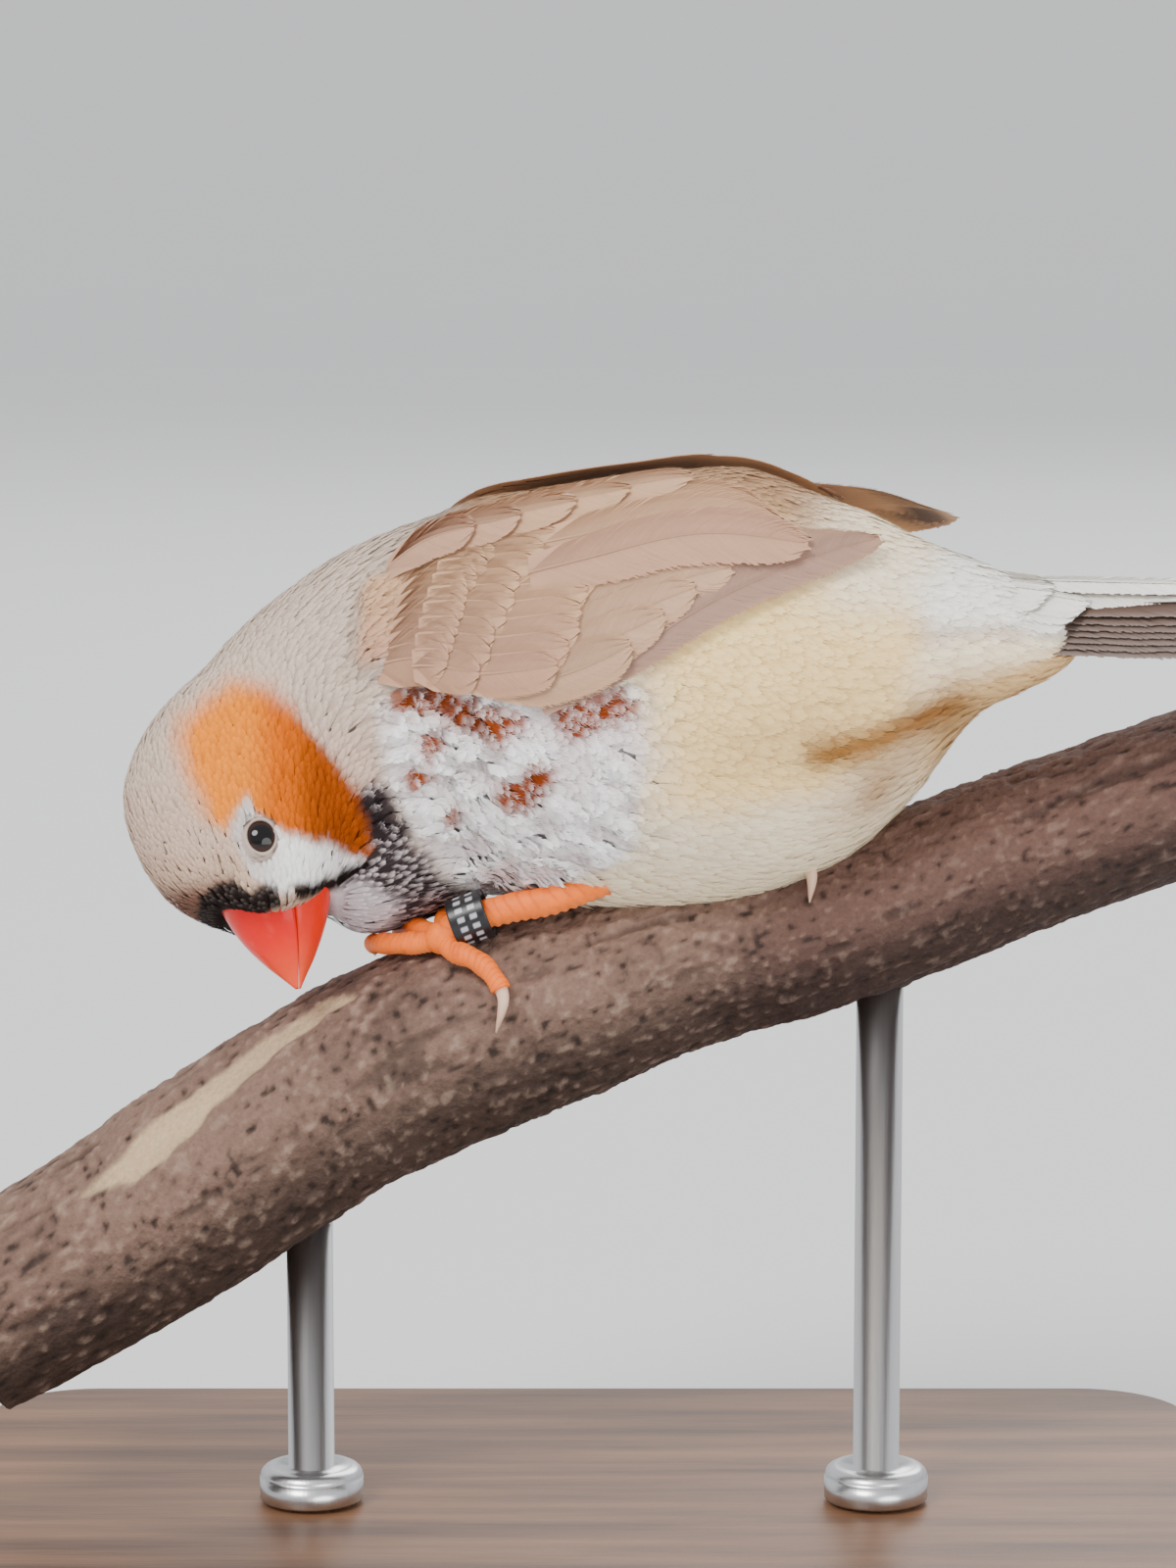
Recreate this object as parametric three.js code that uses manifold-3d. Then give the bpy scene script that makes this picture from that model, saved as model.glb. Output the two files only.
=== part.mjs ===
// A zebra finch, life size, leaning forward on a short cut length of branch that two rods hold over a flat base.
// Millimetres, +Z up. The bird faces -X with its left side towards -Y. The origin is the middle of the base's underside.
import * as THREE from "three";
import { mergeVertices } from "three/addons/utils/BufferGeometryUtils.js";
import Module from "manifold-3d";

const wasm = await Module();
wasm.setup();

const V3 = THREE.Vector3;
const rad = THREE.MathUtils.degToRad;
const lerp = THREE.MathUtils.lerp;

// The direction a, turned by an angle towards the direction b that stands square on it.
function turned(a, b, angle) {
  return a.clone().multiplyScalar(Math.cos(angle)).addScaledVector(b, Math.sin(angle));
}

// Gap between pieces that touch.
const GAP = 0.3;

// Stance of the body: turned away from the viewer, and rolled so that the back shows.
const BODY_YAW = rad(14);
const BODY_ROLL = rad(8);
const BODY_MIDDLE_X = 8;

// Body sections from breast to tail root: dorsal x, dorsal z, ventral x, ventral z, half width.
const TORSO_SECTIONS = [
  [-17.1, 85.1, -16.7, 67.6, 7.0],
  [-15.4, 90.7, -14.0, 63.9, 11.6],
  [-10.8, 94.8, -7.5, 62.4, 14.2],
  [-4.6, 96.0, -2.1, 60.4, 15.3],
  [3.3, 97.3, 4.6, 59.7, 15.6],
  [12.1, 98.2, 12.9, 61.0, 15.0],
  [20.8, 95.4, 20.8, 64.6, 13.2],
  [27.5, 92.4, 26.3, 70.0, 10.6],
  [32.1, 90.6, 31.3, 77.0, 8.2],
  [36.7, 88.3, 37.5, 80.6, 6.0],
  [39.6, 86.3, 40.0, 82.6, 4.0],
];

// Neck sections from inside the head to inside the body: the same five sizes, then the y of the middle.
const NECK_SECTIONS = [
  [-37.5, 74.3, -22.5, 63.0, 7.0, 0.5],
  [-32.3, 81.6, -21.2, 58.6, 8.2, 1.2],
  [-27.7, 86.1, -17.8, 57.6, 9.0, 2.2],
  [-22.1, 89.9, -13.5, 60.1, 11.2, 3.4],
  [-16.7, 92.4, -10.0, 62.4, 13.0, 4.2],
  [-10.8, 94.2, -6.7, 63.5, 13.8, 4.5],
];

// Head: it points down along BILL_LINE in the side view, its bill is turned towards the viewer, and its crown is
// rolled towards the viewer.
const AWAY = new V3(0, 1, 0);
const VIEWER = AWAY.clone().negate();
const BILL_LINE = new V3(0.25, 0, -0.97).normalize();
const CROWN_LINE = new V3(BILL_LINE.z, 0, -BILL_LINE.x);
const HEAD_TURN = rad(22);
const HEAD_ROLL = rad(9);
const TURNED_SIDE = turned(VIEWER, BILL_LINE, -HEAD_TURN);
const BILL_WAY = turned(BILL_LINE, VIEWER, HEAD_TURN);
const CROWN_WAY = turned(CROWN_LINE, TURNED_SIDE, HEAD_ROLL);
const LEFT_WAY = turned(TURNED_SIDE, CROWN_LINE, -HEAD_ROLL);
const HEAD_MIDDLE = new V3(-28.2, 0, 70.3);
const BILL_BASE = HEAD_MIDDLE.clone().addScaledVector(BILL_WAY, 9);
// Head sections counted back from the bill's base: distance, height to the crown, depth to the throat, half width.
const HEAD_SECTIONS = [
  [-0.3, 7.0, 5.2, 6.0],
  [1.0, 9.0, 6.6, 7.3],
  [3.5, 10.5, 8.4, 8.6],
  [7.0, 11.3, 9.6, 9.3],
  [10.4, 11.3, 9.8, 9.4],
  [13.5, 10.0, 8.8, 9.2],
  [16.5, 7.5, 7.0, 7.8],
  [19.0, 4.0, 4.5, 5.0],
];
// How far the feathers beside the bill reach past its base, and how far back that reach fades out.
const LORE = { reach: 2.3, fade: 6 };

// Cuts that part the body, each through two points of the side view.
const HEAD_CUT = [new V3(-32.7, 0, 81.8), new V3(-17.1, 0, 64.7)];
const NECK_CUT = [new V3(-21.2, 0, 90.5), new V3(-10.8, 0, 61.3)];
const TAIL_CUT = [new V3(32.6, 0, 91.0), new V3(32.2, 0, 77.0)];

// Bill sections counted forward from its base: distance, height of the culmen, depth of the chin, half width.
const BILL_SECTIONS = [
  [-1.6, 4.9, 4.3, 3.9],
  [0.0, 5.2, 4.5, 4.2],
  [2.0, 4.7, 3.9, 3.8],
  [4.0, 3.8, 3.0, 3.1],
  [6.0, 2.5, 1.8, 2.0],
  [7.5, 1.3, 0.7, 0.9],
  [8.5, 0.5, 0.0, 0.25],
];
// Height of the mouth line at the bill's base and at its tip.
const MOUTH_BASE = -0.9;
const MOUTH_TIP = 0.2;
const NOSTRIL = { forward: 1.4, up: 3.4, side: 3.1, radius: 0.45 };

// Eye: place in the head, ball radius and visible radius.
const EYE = { back: 2.9, up: 0.9, side: 8.5, radius: 2.2, seen: 1.4 };
// Lid: distance of its ring from the eye's visible edge, thickness of the ring, and how far it is sunk.
const LID = { out: 0.4, thick: 0.55, sunk: 0.15 };

// Branch: middle line (x, z) and radius, from its thick end to its thin end.
const BRANCH_Y = 0.5;
const BRANCH_SECTIONS = [
  [-53.5, 23.9, 8.3],
  [-41.7, 30.6, 8.6],
  [-33.3, 36.2, 8.9],
  [-24.5, 42.1, 8.9],
  [-16.7, 46.5, 9.0],
  [-8.3, 50.1, 8.8],
  [0.0, 53.0, 8.2],
  [8.3, 55.9, 7.5],
  [16.7, 58.0, 7.1],
  [25.0, 60.6, 7.0],
  [33.3, 63.9, 6.8],
  [41.7, 66.9, 6.7],
  [53.5, 71.3, 6.7],
];

// Legs: the shank, the ball where the toes meet and its socket for the shank, the toes and claws.
const SHANK_RADIUS = 1.3;
const JOINT = { radius: 1.45, socket: 1.0 };
const TOE = { radius: 1.02, taper: 0.16, swell: 0.06, swells: 3 };
const CLAW = { radius: 0.55, taper: 0.75, from: 0.66 };
// How much deeper than the toe its hollow in the feathers reaches, as a share of its length.
const HOLLOW_MORE = 0.04;
// Ring on the left shank, and its place along the shank.
const RING = { along: 0.2, length: 3.2, outer: 2.15, inner: SHANK_RADIUS + GAP };

// Stand.
const BASE = { length: 112, width: 78, height: 8, corner: 10, bevel: 1 };
const ROD_RADIUS = 2;
const COLLAR = { radius: 4.5, height: 3, bevel: 1 };
const ROD_PLACES = [-24, 25];

// Corners are set on a grid this fine.
const CORNER_GRID = 0.004;
// Edges whose loss moves the surface less than this are taken out: on plain forms and on feathers.
const PLAIN_DETAIL = 0.04;
const FEATHER_DETAIL = 0.06;

// Seeded random numbers, so that each build is the same.
function randomFrom(seed) {
  let state = seed;
  return () => {
    state = (state + 0x6d2b79f5) | 0;
    let t = Math.imul(state ^ (state >>> 15), 1 | state);
    t = (t + Math.imul(t ^ (t >>> 7), 61 | t)) ^ t;
    return ((t ^ (t >>> 14)) >>> 0) / 4294967296;
  };
}

// Smooth value of a table of sections at t, from 0 at its first row to 1 at its last.
function rowAt(rows, t) {
  const last = rows.length - 1;
  const x = THREE.MathUtils.clamp(t, 0, 1) * last;
  const i = Math.min(Math.floor(x), last - 1);
  const f = x - i;
  const before = i > 0 ? rows[i - 1] : null;
  const after = i + 2 <= last ? rows[i + 2] : null;
  return rows[i].map((b, k) => {
    const c = rows[i + 1][k];
    const a = before ? before[k] : 2 * b - c;
    const d = after ? after[k] : 2 * c - b;
    return 0.5 * (2 * b + (c - a) * f + (2 * a - 5 * b + 4 * c - d) * f * f + (3 * b - a - 3 * c + d) * f * f * f);
  });
}

// A body from a closed surface, whose corners at the same place become one.
function solid(geometry) {
  const bare = new THREE.BufferGeometry().setAttribute("position", geometry.getAttribute("position"));
  if (geometry.index) bare.setIndex(geometry.index);
  const merged = mergeVertices(bare, CORNER_GRID / 400);
  const triVerts = new Uint32Array(merged.index.array);
  const vertProperties = new Float32Array(merged.attributes.position.array);
  return new wasm.Manifold(new wasm.Mesh({ numProp: 3, vertProperties, triVerts }));
}

// Closes a list of faces into a solid, turned outward.
function closed(points, faces) {
  const geometry = new THREE.BufferGeometry().setFromPoints(points);
  geometry.setIndex(faces);
  const body = solid(geometry);
  if (body.volume() > 0) return body;
  for (let i = 0; i < faces.length; i += 3) [faces[i + 1], faces[i + 2]] = [faces[i + 2], faces[i + 1]];
  geometry.setIndex(faces);
  return solid(geometry);
}

// The body's surface with its corners on a fine grid, so that corners which nearly meet become one.
function geometryOf(body) {
  const mesh = body.getMesh();
  const positions = Float32Array.from(mesh.vertProperties, (v) => Math.round(v / CORNER_GRID) * CORNER_GRID);
  const geometry = new THREE.BufferGeometry();
  geometry.setAttribute("position", new THREE.BufferAttribute(positions, 3));
  geometry.setIndex(Array.from(mesh.triVerts));
  const merged = mergeVertices(geometry, CORNER_GRID / 4);
  const corners = merged.index.array;
  const kept = [];
  for (let i = 0; i < corners.length; i += 3) {
    const [a, b, c] = [corners[i], corners[i + 1], corners[i + 2]];
    if (a !== b && b !== c && c !== a) kept.push(a, b, c);
  }
  return merged.setIndex(kept);
}

// The largest closed surface of a body, with short edges that add nothing to its form taken out.
// Merging close corners can free a sliver, so the largest is picked again after it.
function largest(body, tolerance = PLAIN_DETAIL) {
  let kept = solid(geometryOf(body)).simplify(tolerance);
  for (let pass = 0; pass < 3; pass++)
    kept = solid(geometryOf(kept)).decompose().sort((a, b) => b.volume() - a.volume())[0];
  return kept;
}

function union(bodies) {
  return bodies.reduce((sum, body) => sum.add(body));
}

// A closed body through rings of points: place(t, turn) gives a point, t from 0 to 1 and turn once round.
function loft(place, steps, sides) {
  const points = [];
  const faces = [];
  for (let i = 0; i <= steps; i++)
    for (let j = 0; j < sides; j++) points.push(place(i / steps, (j / sides) * 2 * Math.PI));
  for (let i = 0; i < steps; i++)
    for (let j = 0; j < sides; j++) {
      const k = (j + 1) % sides;
      const [a, b, c, d] = [i * sides + j, i * sides + k, (i + 1) * sides + j, (i + 1) * sides + k];
      faces.push(a, b, d, a, d, c);
    }
  for (const [ring, flip] of [[0, true], [steps, false]]) {
    const middle = points.length;
    const centre = new V3();
    for (let j = 0; j < sides; j++) centre.addScaledVector(points[ring * sides + j], 1 / sides);
    points.push(centre);
    for (let j = 0; j < sides; j++) {
      const [a, b] = [ring * sides + j, ring * sides + ((j + 1) % sides)];
      faces.push(...(flip ? [b, a, middle] : [a, b, middle]));
    }
  }
  return closed(points, faces);
}

// A round body along a curve, with a radius that changes from 0 to 1 along it.
function tube(curve, radiusAt, steps, sides) {
  const frames = curve.computeFrenetFrames(steps, false);
  const place = (t, turn) => {
    const i = Math.round(t * steps);
    const radius = radiusAt(t);
    return curve
      .getPointAt(t)
      .addScaledVector(frames.normals[i], radius * Math.cos(turn))
      .addScaledVector(frames.binormals[i], radius * Math.sin(turn));
  };
  return loft(place, steps, sides);
}

function ball(centre, radius, sides = 12) {
  return solid(new THREE.SphereGeometry(radius, sides, Math.round(sides * 0.7)).translate(centre.x, centre.y, centre.z));
}

// Both sides of a flat cut through two points and the way across them: for a cut upward in the side view the +X
// side comes last, and for the bill the side of the chin.
function part(body, [from, to], across = AWAY) {
  const normal = new V3().crossVectors(to.clone().sub(from), across).normalize();
  const way = [normal.x, normal.y, normal.z];
  const back = way.map((n) => -n);
  const at = normal.dot(from);
  return [body.trimByPlane(back, -at + GAP / 2), body.trimByPlane(way, at + GAP / 2)];
}

// The body's surface: t from breast to tail root, turn 0 on the back, 90 degrees on the left side, 180 on the belly.
function bodyFrame(t) {
  const [dx, dz, vx, vz, width] = rowAt(TORSO_SECTIONS, t);
  const half = Math.hypot(dx - vx, dz - vz) / 2;
  const spine = new V3((dx - vx) / (2 * half), 0, (dz - vz) / (2 * half));
  const right = new V3(Math.sin(BODY_YAW), Math.cos(BODY_YAW), 0);
  const up = turned(spine, right, -BODY_ROLL);
  const side = turned(right, spine, BODY_ROLL);
  const x = (dx + vx) / 2;
  const centre = new V3(x, (BODY_MIDDLE_X - x) * Math.tan(BODY_YAW), (dz + vz) / 2);
  return { centre, up, side, half, width };
}

function bodyPoint(t, turn, lift = 0) {
  const { centre, up, side, half, width } = bodyFrame(t);
  return centre
    .addScaledVector(up, (half + lift) * Math.cos(turn))
    .addScaledVector(side, -(width + lift) * Math.sin(turn));
}

function bodyNormal(t, turn) {
  const step = 0.002;
  const along = bodyPoint(t + step, turn).sub(bodyPoint(t - step, turn));
  const round = bodyPoint(t, turn + step).sub(bodyPoint(t, turn - step));
  return round.cross(along).normalize();
}

function neckPoint(t, turn, margin = 0) {
  const [dx, dz, vx, vz, width, y] = rowAt(NECK_SECTIONS, t);
  const half = Math.hypot(dx - vx, dz - vz) / 2;
  const up = new V3(dx - vx, 0, dz - vz).normalize();
  return new V3((dx + vx) / 2, y - (width + margin) * Math.sin(turn), (dz + vz) / 2).addScaledVector(
    up,
    (half + margin) * Math.cos(turn),
  );
}

function headPlace(back, up, side) {
  return BILL_BASE.clone()
    .addScaledVector(BILL_WAY, -back)
    .addScaledVector(CROWN_WAY, up)
    .addScaledVector(LEFT_WAY, side);
}

function headPoint(t, turn) {
  const [back, crown, throat, width] = rowAt(HEAD_SECTIONS, t);
  const [cos, sin] = [Math.cos(turn), Math.sin(turn)];
  const lore = LORE.reach * sin ** 2 * Math.max(0, 1 - back / LORE.fade);
  return headPlace(back - lore, cos * (cos > 0 ? crown : throat), sin * width);
}

// Bill, grown by a margin for the hollow that it sits in.
function billSolid(margin) {
  const place = (t, turn) => {
    const [forward, culmen, chin, width] = rowAt(BILL_SECTIONS, t);
    const cos = Math.cos(turn);
    const height = cos > 0 ? culmen : chin;
    const back = -forward + (t === 0 ? margin : 0);
    return headPlace(back, cos * (height + margin), (width + margin) * Math.sin(turn));
  };
  return loft(place, 8, 12);
}

function makeBill() {
  let whole = billSolid(0);
  for (const sign of [-1, 1]) {
    const at = headPlace(-NOSTRIL.forward, NOSTRIL.up, sign * NOSTRIL.side);
    whole = whole.subtract(ball(at, NOSTRIL.radius, 6));
  }
  const base = headPlace(0, MOUTH_BASE, 0);
  const tip = headPlace(-BILL_SECTIONS.at(-1)[0], MOUTH_TIP, 0);
  const [upper, lower] = part(whole, [base, tip], LEFT_WAY.clone().negate());
  return { bill_upper: largest(upper), bill_lower: largest(lower) };
}

// Eyes and lids.
function eyeCentre(sign) {
  const inward = Math.sqrt(EYE.radius ** 2 - EYE.seen ** 2);
  return headPlace(EYE.back, EYE.up, sign * (EYE.side - inward));
}

function lidRing(sign) {
  const ring = new THREE.TorusGeometry(EYE.seen + LID.out, LID.thick, 6, 14);
  const turn = new THREE.Quaternion().setFromUnitVectors(new V3(0, 0, 1), LEFT_WAY);
  const at = headPlace(EYE.back, EYE.up, sign * (EYE.side - LID.sunk));
  return solid(ring.applyQuaternion(turn).translate(at.x, at.y, at.z));
}

// Branch.
function branchFrame(t) {
  const [x, z, radius] = rowAt(BRANCH_SECTIONS, t);
  const step = 0.004;
  const [ax, az] = rowAt(BRANCH_SECTIONS, t - step);
  const [bx, bz] = rowAt(BRANCH_SECTIONS, t + step);
  const along = new V3(bx - ax, 0, bz - az).normalize();
  const up = new V3(-along.z, 0, along.x);
  return { centre: new V3(x, BRANCH_Y, z), along, up, radius };
}

// The branch's place at a middle-line x.
function branchT(x) {
  let [low, high] = [0, 1];
  for (let i = 0; i < 30; i++) {
    const middle = (low + high) / 2;
    if (rowAt(BRANCH_SECTIONS, middle)[0] < x) low = middle;
    else high = middle;
  }
  return low;
}

// A point on or over the bark: its own x, turn in degrees from the top, negative towards the viewer, and its lift.
function barkPoint(x, degrees, lift) {
  const turn = rad(degrees);
  const pointAt = (t) => {
    const { centre, up, radius } = branchFrame(t);
    return centre
      .addScaledVector(up, (radius + lift) * Math.cos(turn))
      .add(new V3(0, (radius + lift) * Math.sin(turn), 0));
  };
  let [low, high] = [0, 1];
  for (let i = 0; i < 30; i++) {
    const middle = (low + high) / 2;
    if (pointAt(middle).x < x) low = middle;
    else high = middle;
  }
  return pointAt(low);
}

function branchSolid(margin) {
  const place = (t, turn) => {
    const { centre, up, radius } = branchFrame(t);
    const reach = radius + margin;
    return centre.addScaledVector(up, reach * Math.cos(turn)).add(new V3(0, reach * Math.sin(turn), 0));
  };
  return loft(place, 22, 16);
}

// Outline of a vane along its length: width at the root, how fast it widens, where the tip starts to round off, how
// far past the end that rounding runs, and the least width, all as shares.
const VANE = { root: 0.62, widening: 1.1, tipFrom: 0.55, tipRun: 0.47, least: 0.22, thick: 0.55 };
// Steps along a vane stand closer towards its tip by this power.
const TIP_STEPS = 1.6;

// Share of a vane's full width along its length: narrow root, full middle, rounded tip.
function vaneWidth(f) {
  const root = Math.min(1, VANE.root + VANE.widening * f);
  const past = Math.max(0, f - VANE.tipFrom) / VANE.tipRun;
  return Math.max(VANE.least, root * Math.sqrt(Math.max(0, 1 - past ** 4)));
}

// A feather vane: middle(f) and out(f) give its middle line and the way its upper face looks, f from root to tip.
// lift is its height over that line at root and tip. tilt is how far one edge stands over the other: +1 edge high.
// Both faces are split alike.
function vane({ middle, out, width, lift, tilt, steps = 4 }) {
  const points = [];
  for (let i = 0; i <= steps; i++) {
    const f = 1 - (1 - i / steps) ** TIP_STEPS;
    const along = middle(Math.min(1, f + 0.02)).sub(middle(Math.max(0, f - 0.02)));
    const outward = out(f);
    const across = new V3().crossVectors(outward, along).normalize();
    const share = vaneWidth(f);
    for (const [edge, face] of [[-1, 1], [1, 1], [1, -1], [-1, -1]])
      points.push(
        middle(f)
          .addScaledVector(across, (edge * width * share) / 2)
          .addScaledVector(outward, lerp(...lift, f) + (face * VANE.thick) / 2 + edge * tilt * share),
      );
  }
  const faces = [];
  for (let i = 0; i < steps; i++) {
    const a = i * 4;
    const b = a + 4;
    faces.push(a, a + 1, b + 1, a, b + 1, b);
    faces.push(a + 1, a + 2, b + 2, a + 1, b + 2, b + 1);
    faces.push(a + 3, b + 3, b + 2, a + 3, b + 2, a + 2);
    faces.push(a + 3, a, b, a + 3, b, b + 3);
  }
  const end = steps * 4;
  faces.push(0, 3, 2, 0, 2, 1, end, end + 1, end + 2, end, end + 2, end + 3);
  return closed(points, faces);
}

// A vane that follows the body's surface from one place [t, degrees] to another, on the left (side 1) or right (-1).
function bodyVane({ from, to, bow = 0, side, tilt, ...rest }) {
  const place = (f) => {
    const degrees = lerp(from[1], to[1], f) + bow * Math.sin(Math.PI * f);
    return [lerp(from[0], to[0], f), side * rad(degrees)];
  };
  const middle = (f) => bodyPoint(...place(f));
  const out = (f) => {
    const normal = bodyNormal(...place(f));
    const outward = middle(f).sub(bodyFrame(place(f)[0]).centre);
    return normal.dot(outward) > 0 ? normal : normal.negate();
  };
  return vane({ middle, out, tilt: tilt * side, ...rest });
}

// Tiers of feathers on a wing. Each goes from its lowest feather on the flank to its highest near the back: root and
// tip places [t, degrees], width, lift at root and tip, and bow of the middle line in degrees.
const WING_TIERS = [
  { name: "primaries", count: 6, root: [[0.35, 79], [0.37, 60]], tip: [[0.665, 22], [0.6, 30]], width: [3.8, 4.4],
    lift: [0.85, 1.3], bow: [8, 3] },
  { name: "secondaries", count: 4, root: [[0.3, 74], [0.33, 52]], tip: [[0.44, 67], [0.585, 35]], width: [4.6, 4.8],
    lift: [1.35, 1.75], bow: [2, 2] },
  { name: "tertials", count: 3, root: [[0.34, 46], [0.36, 28]], tip: [[0.59, 36], [0.54, 26]], width: [5.6, 5.4],
    lift: [1.75, 2.1], bow: [0, 0] },
  { name: "greater_coverts", count: 5, root: [[0.25, 74], [0.29, 36]], tip: [[0.375, 71], [0.435, 35]],
    width: [4.8, 5.0], lift: [1.85, 2.3], bow: [0, 0] },
  { name: "median_coverts", count: 4, root: [[0.14, 71], [0.18, 38]], tip: [[0.26, 72], [0.33, 36]],
    width: [5.0, 5.4], lift: [2.0, 2.5], bow: [0, 0] },
  { name: "scapulars", count: 2, root: [[0.2, 32], [0.28, 20]], tip: [[0.38, 28], [0.48, 18]], width: [5.4, 5.4],
    lift: [1.6, 2.2], bow: [0, 0] },
];
// How far one edge of a wing feather stands over the other, and how unevenly the feathers end.
const WING_TILT = 0.2;
const WING_SCATTER = 0.01;
// The wing lies lower towards the back, where it sinks into the body's own feathers.
const settled = (f) => 1 - 0.35 * f;
// The plate under those feathers: where it starts and ends, its lower and upper edge in degrees at both, the share of
// its length in which its front rounds off, its thickness in the middle and at its edge.
const WING_PLATE = { from: 0.055, to: 0.46, low: [80, 68], high: [22, 30], middle: [56, 50], front: 0.25, blunt: 0.3,
  thick: 1.75, edge: 0.6 };
const PLATE_INNER = GAP + 0.05;
// Least height of a wing feather's middle line, which keeps its low edge off the body.
const LEAST_LIFT = 0.85;

// height is how far the wing stands off the body, against the full height of the tiers above.
function wingPlate(side, height) {
  const [steps, across] = [8, 7];
  const pointAt = (i, j, outer) => {
    const [f, g] = [i / steps, j / across];
    const before = Math.max(0, 1 - f / WING_PLATE.front);
    const spread = Math.max(WING_PLATE.blunt, Math.sqrt(1 - before ** 2));
    const middle = lerp(...WING_PLATE.middle, f);
    const low = lerp(middle, lerp(...WING_PLATE.low, f), spread);
    const high = lerp(middle, lerp(...WING_PLATE.high, f), spread);
    const swell = Math.sqrt(Math.max(0, Math.sin(Math.PI * g) * Math.sin(Math.PI * Math.min(1, 0.1 + f))));
    const thick = settled(g) * lerp(WING_PLATE.edge, Math.max(WING_PLATE.edge, height * WING_PLATE.thick), swell);
    const lift = PLATE_INNER + (outer ? thick : 0);
    return bodyPoint(lerp(WING_PLATE.from, WING_PLATE.to, f), side * rad(lerp(low, high, g)), lift);
  };
  const points = [];
  for (const outer of [true, false])
    for (let i = 0; i <= steps; i++) for (let j = 0; j <= across; j++) points.push(pointAt(i, j, outer));
  const row = across + 1;
  const under = (steps + 1) * row;
  const faces = [];
  for (let i = 0; i < steps; i++)
    for (let j = 0; j < across; j++) {
      const [a, b, c, d] = [i * row + j, i * row + j + 1, (i + 1) * row + j, (i + 1) * row + j + 1];
      faces.push(a, b, d, a, d, c, under + a, under + d, under + b, under + a, under + c, under + d);
    }
  const wall = (a, b) => faces.push(a, under + a, under + b, a, under + b, b);
  for (let i = 0; i < steps; i++) {
    wall((i + 1) * row, i * row);
    wall(i * row + across, (i + 1) * row + across);
  }
  for (let j = 0; j < across; j++) {
    wall(j, j + 1);
    wall(steps * row + j + 1, steps * row + j);
  }
  return closed(points, faces);
}

// side is 1 for the left wing and -1 for the right. reach moves the primaries' tips back and rise lifts them.
function makeWing({ side, reach, rise, height, seed }) {
  const random = randomFrom(seed);
  const vanes = [];
  for (const tier of WING_TIERS)
    for (let k = 0; k < tier.count; k++) {
      const f = k / (tier.count - 1);
      const flight = tier.name === "primaries" ? 1 : 0;
      const place = ([first, last], shift) => [lerp(first[0], last[0], f) + shift, lerp(first[1], last[1], f)];
      const stand = height * settled(f);
      vanes.push(
        bodyVane({
          from: place(tier.root, 0),
          to: place(tier.tip, (random() - 0.5) * WING_SCATTER + flight * reach),
          bow: lerp(...tier.bow, f),
          width: lerp(...tier.width, f),
          lift: [Math.max(LEAST_LIFT, stand * tier.lift[0]), Math.max(LEAST_LIFT, stand * tier.lift[1]) + flight * rise],
          side,
          tilt: WING_TILT,
        }),
      );
    }
  const neckHollow = loft((t, turn) => neckPoint(t, turn, GAP), 8, 20);
  return largest(union([wingPlate(side, height), ...vanes]).subtract(neckHollow), FEATHER_DETAIL);
}

// Tail: its root's place, the way it points, how wide it lies and how far it is rolled towards the viewer.
const TAIL_ROOT = new V3(34, (BODY_MIDDLE_X - 34) * Math.tan(BODY_YAW), 85.2);
const TAIL_WAY = new V3(Math.cos(BODY_YAW), -Math.sin(BODY_YAW), 0.05).normalize();
const TAIL_ROLL = rad(16);
const TAIL_FLAT = new V3(Math.sin(BODY_YAW), Math.cos(BODY_YAW), 0);
const TAIL_TOP = new V3().crossVectors(TAIL_FLAT, TAIL_WAY).normalize();
if (TAIL_TOP.z < 0) TAIL_TOP.negate();
const TAIL_SIDE = turned(TAIL_FLAT, TAIL_TOP, TAIL_ROLL);
const TAIL_UP = turned(TAIL_TOP, TAIL_FLAT, -TAIL_ROLL);
// Tail feathers: pairs out from the middle, length and width of the middle pair and what each outer pair loses of
// both, spacing at root and tip, height of the middle pair and what each outer pair loses of it.
const TAIL_FEATHERS = { pairs: 6, length: 38, shorter: 0.55, width: 5.6, narrower: 0.12, root: 0.45, tip: 0.85,
  crown: 1.3, lower: 0.36, tilt: 0.18 };
// Coverts over and under the tail: count, start and end along it, middle and half spread across it at start and end,
// width, height over it at start and end.
const TAIL_COVERTS = [
  { count: 4, from: 0.6, to: 8.0, middle: [0, 0], spread: [2.8, 3.2], width: 5.2, lift: [3.6, 1.9] },
  { count: 2, from: 1.5, to: 18.0, middle: [2.2, 2.6], spread: [0.8, 1.2], width: 4.0, lift: [3.0, 1.95] },
  { count: 4, from: 0.6, to: 8.5, middle: [0, 0], spread: [2.3, 2.8], width: 5.2, lift: [-3.0, -1.6] },
];
// The outer coverts of a row end sooner, lie closer to the tail and tilt outward.
const OUTER_COVERT = { shorter: 1.5, closer: 0.5, tilt: 0.4 };

function tailPoint(along, sideways, up) {
  return TAIL_ROOT.clone()
    .addScaledVector(TAIL_WAY, along)
    .addScaledVector(TAIL_SIDE, sideways)
    .addScaledVector(TAIL_UP, up);
}

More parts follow.
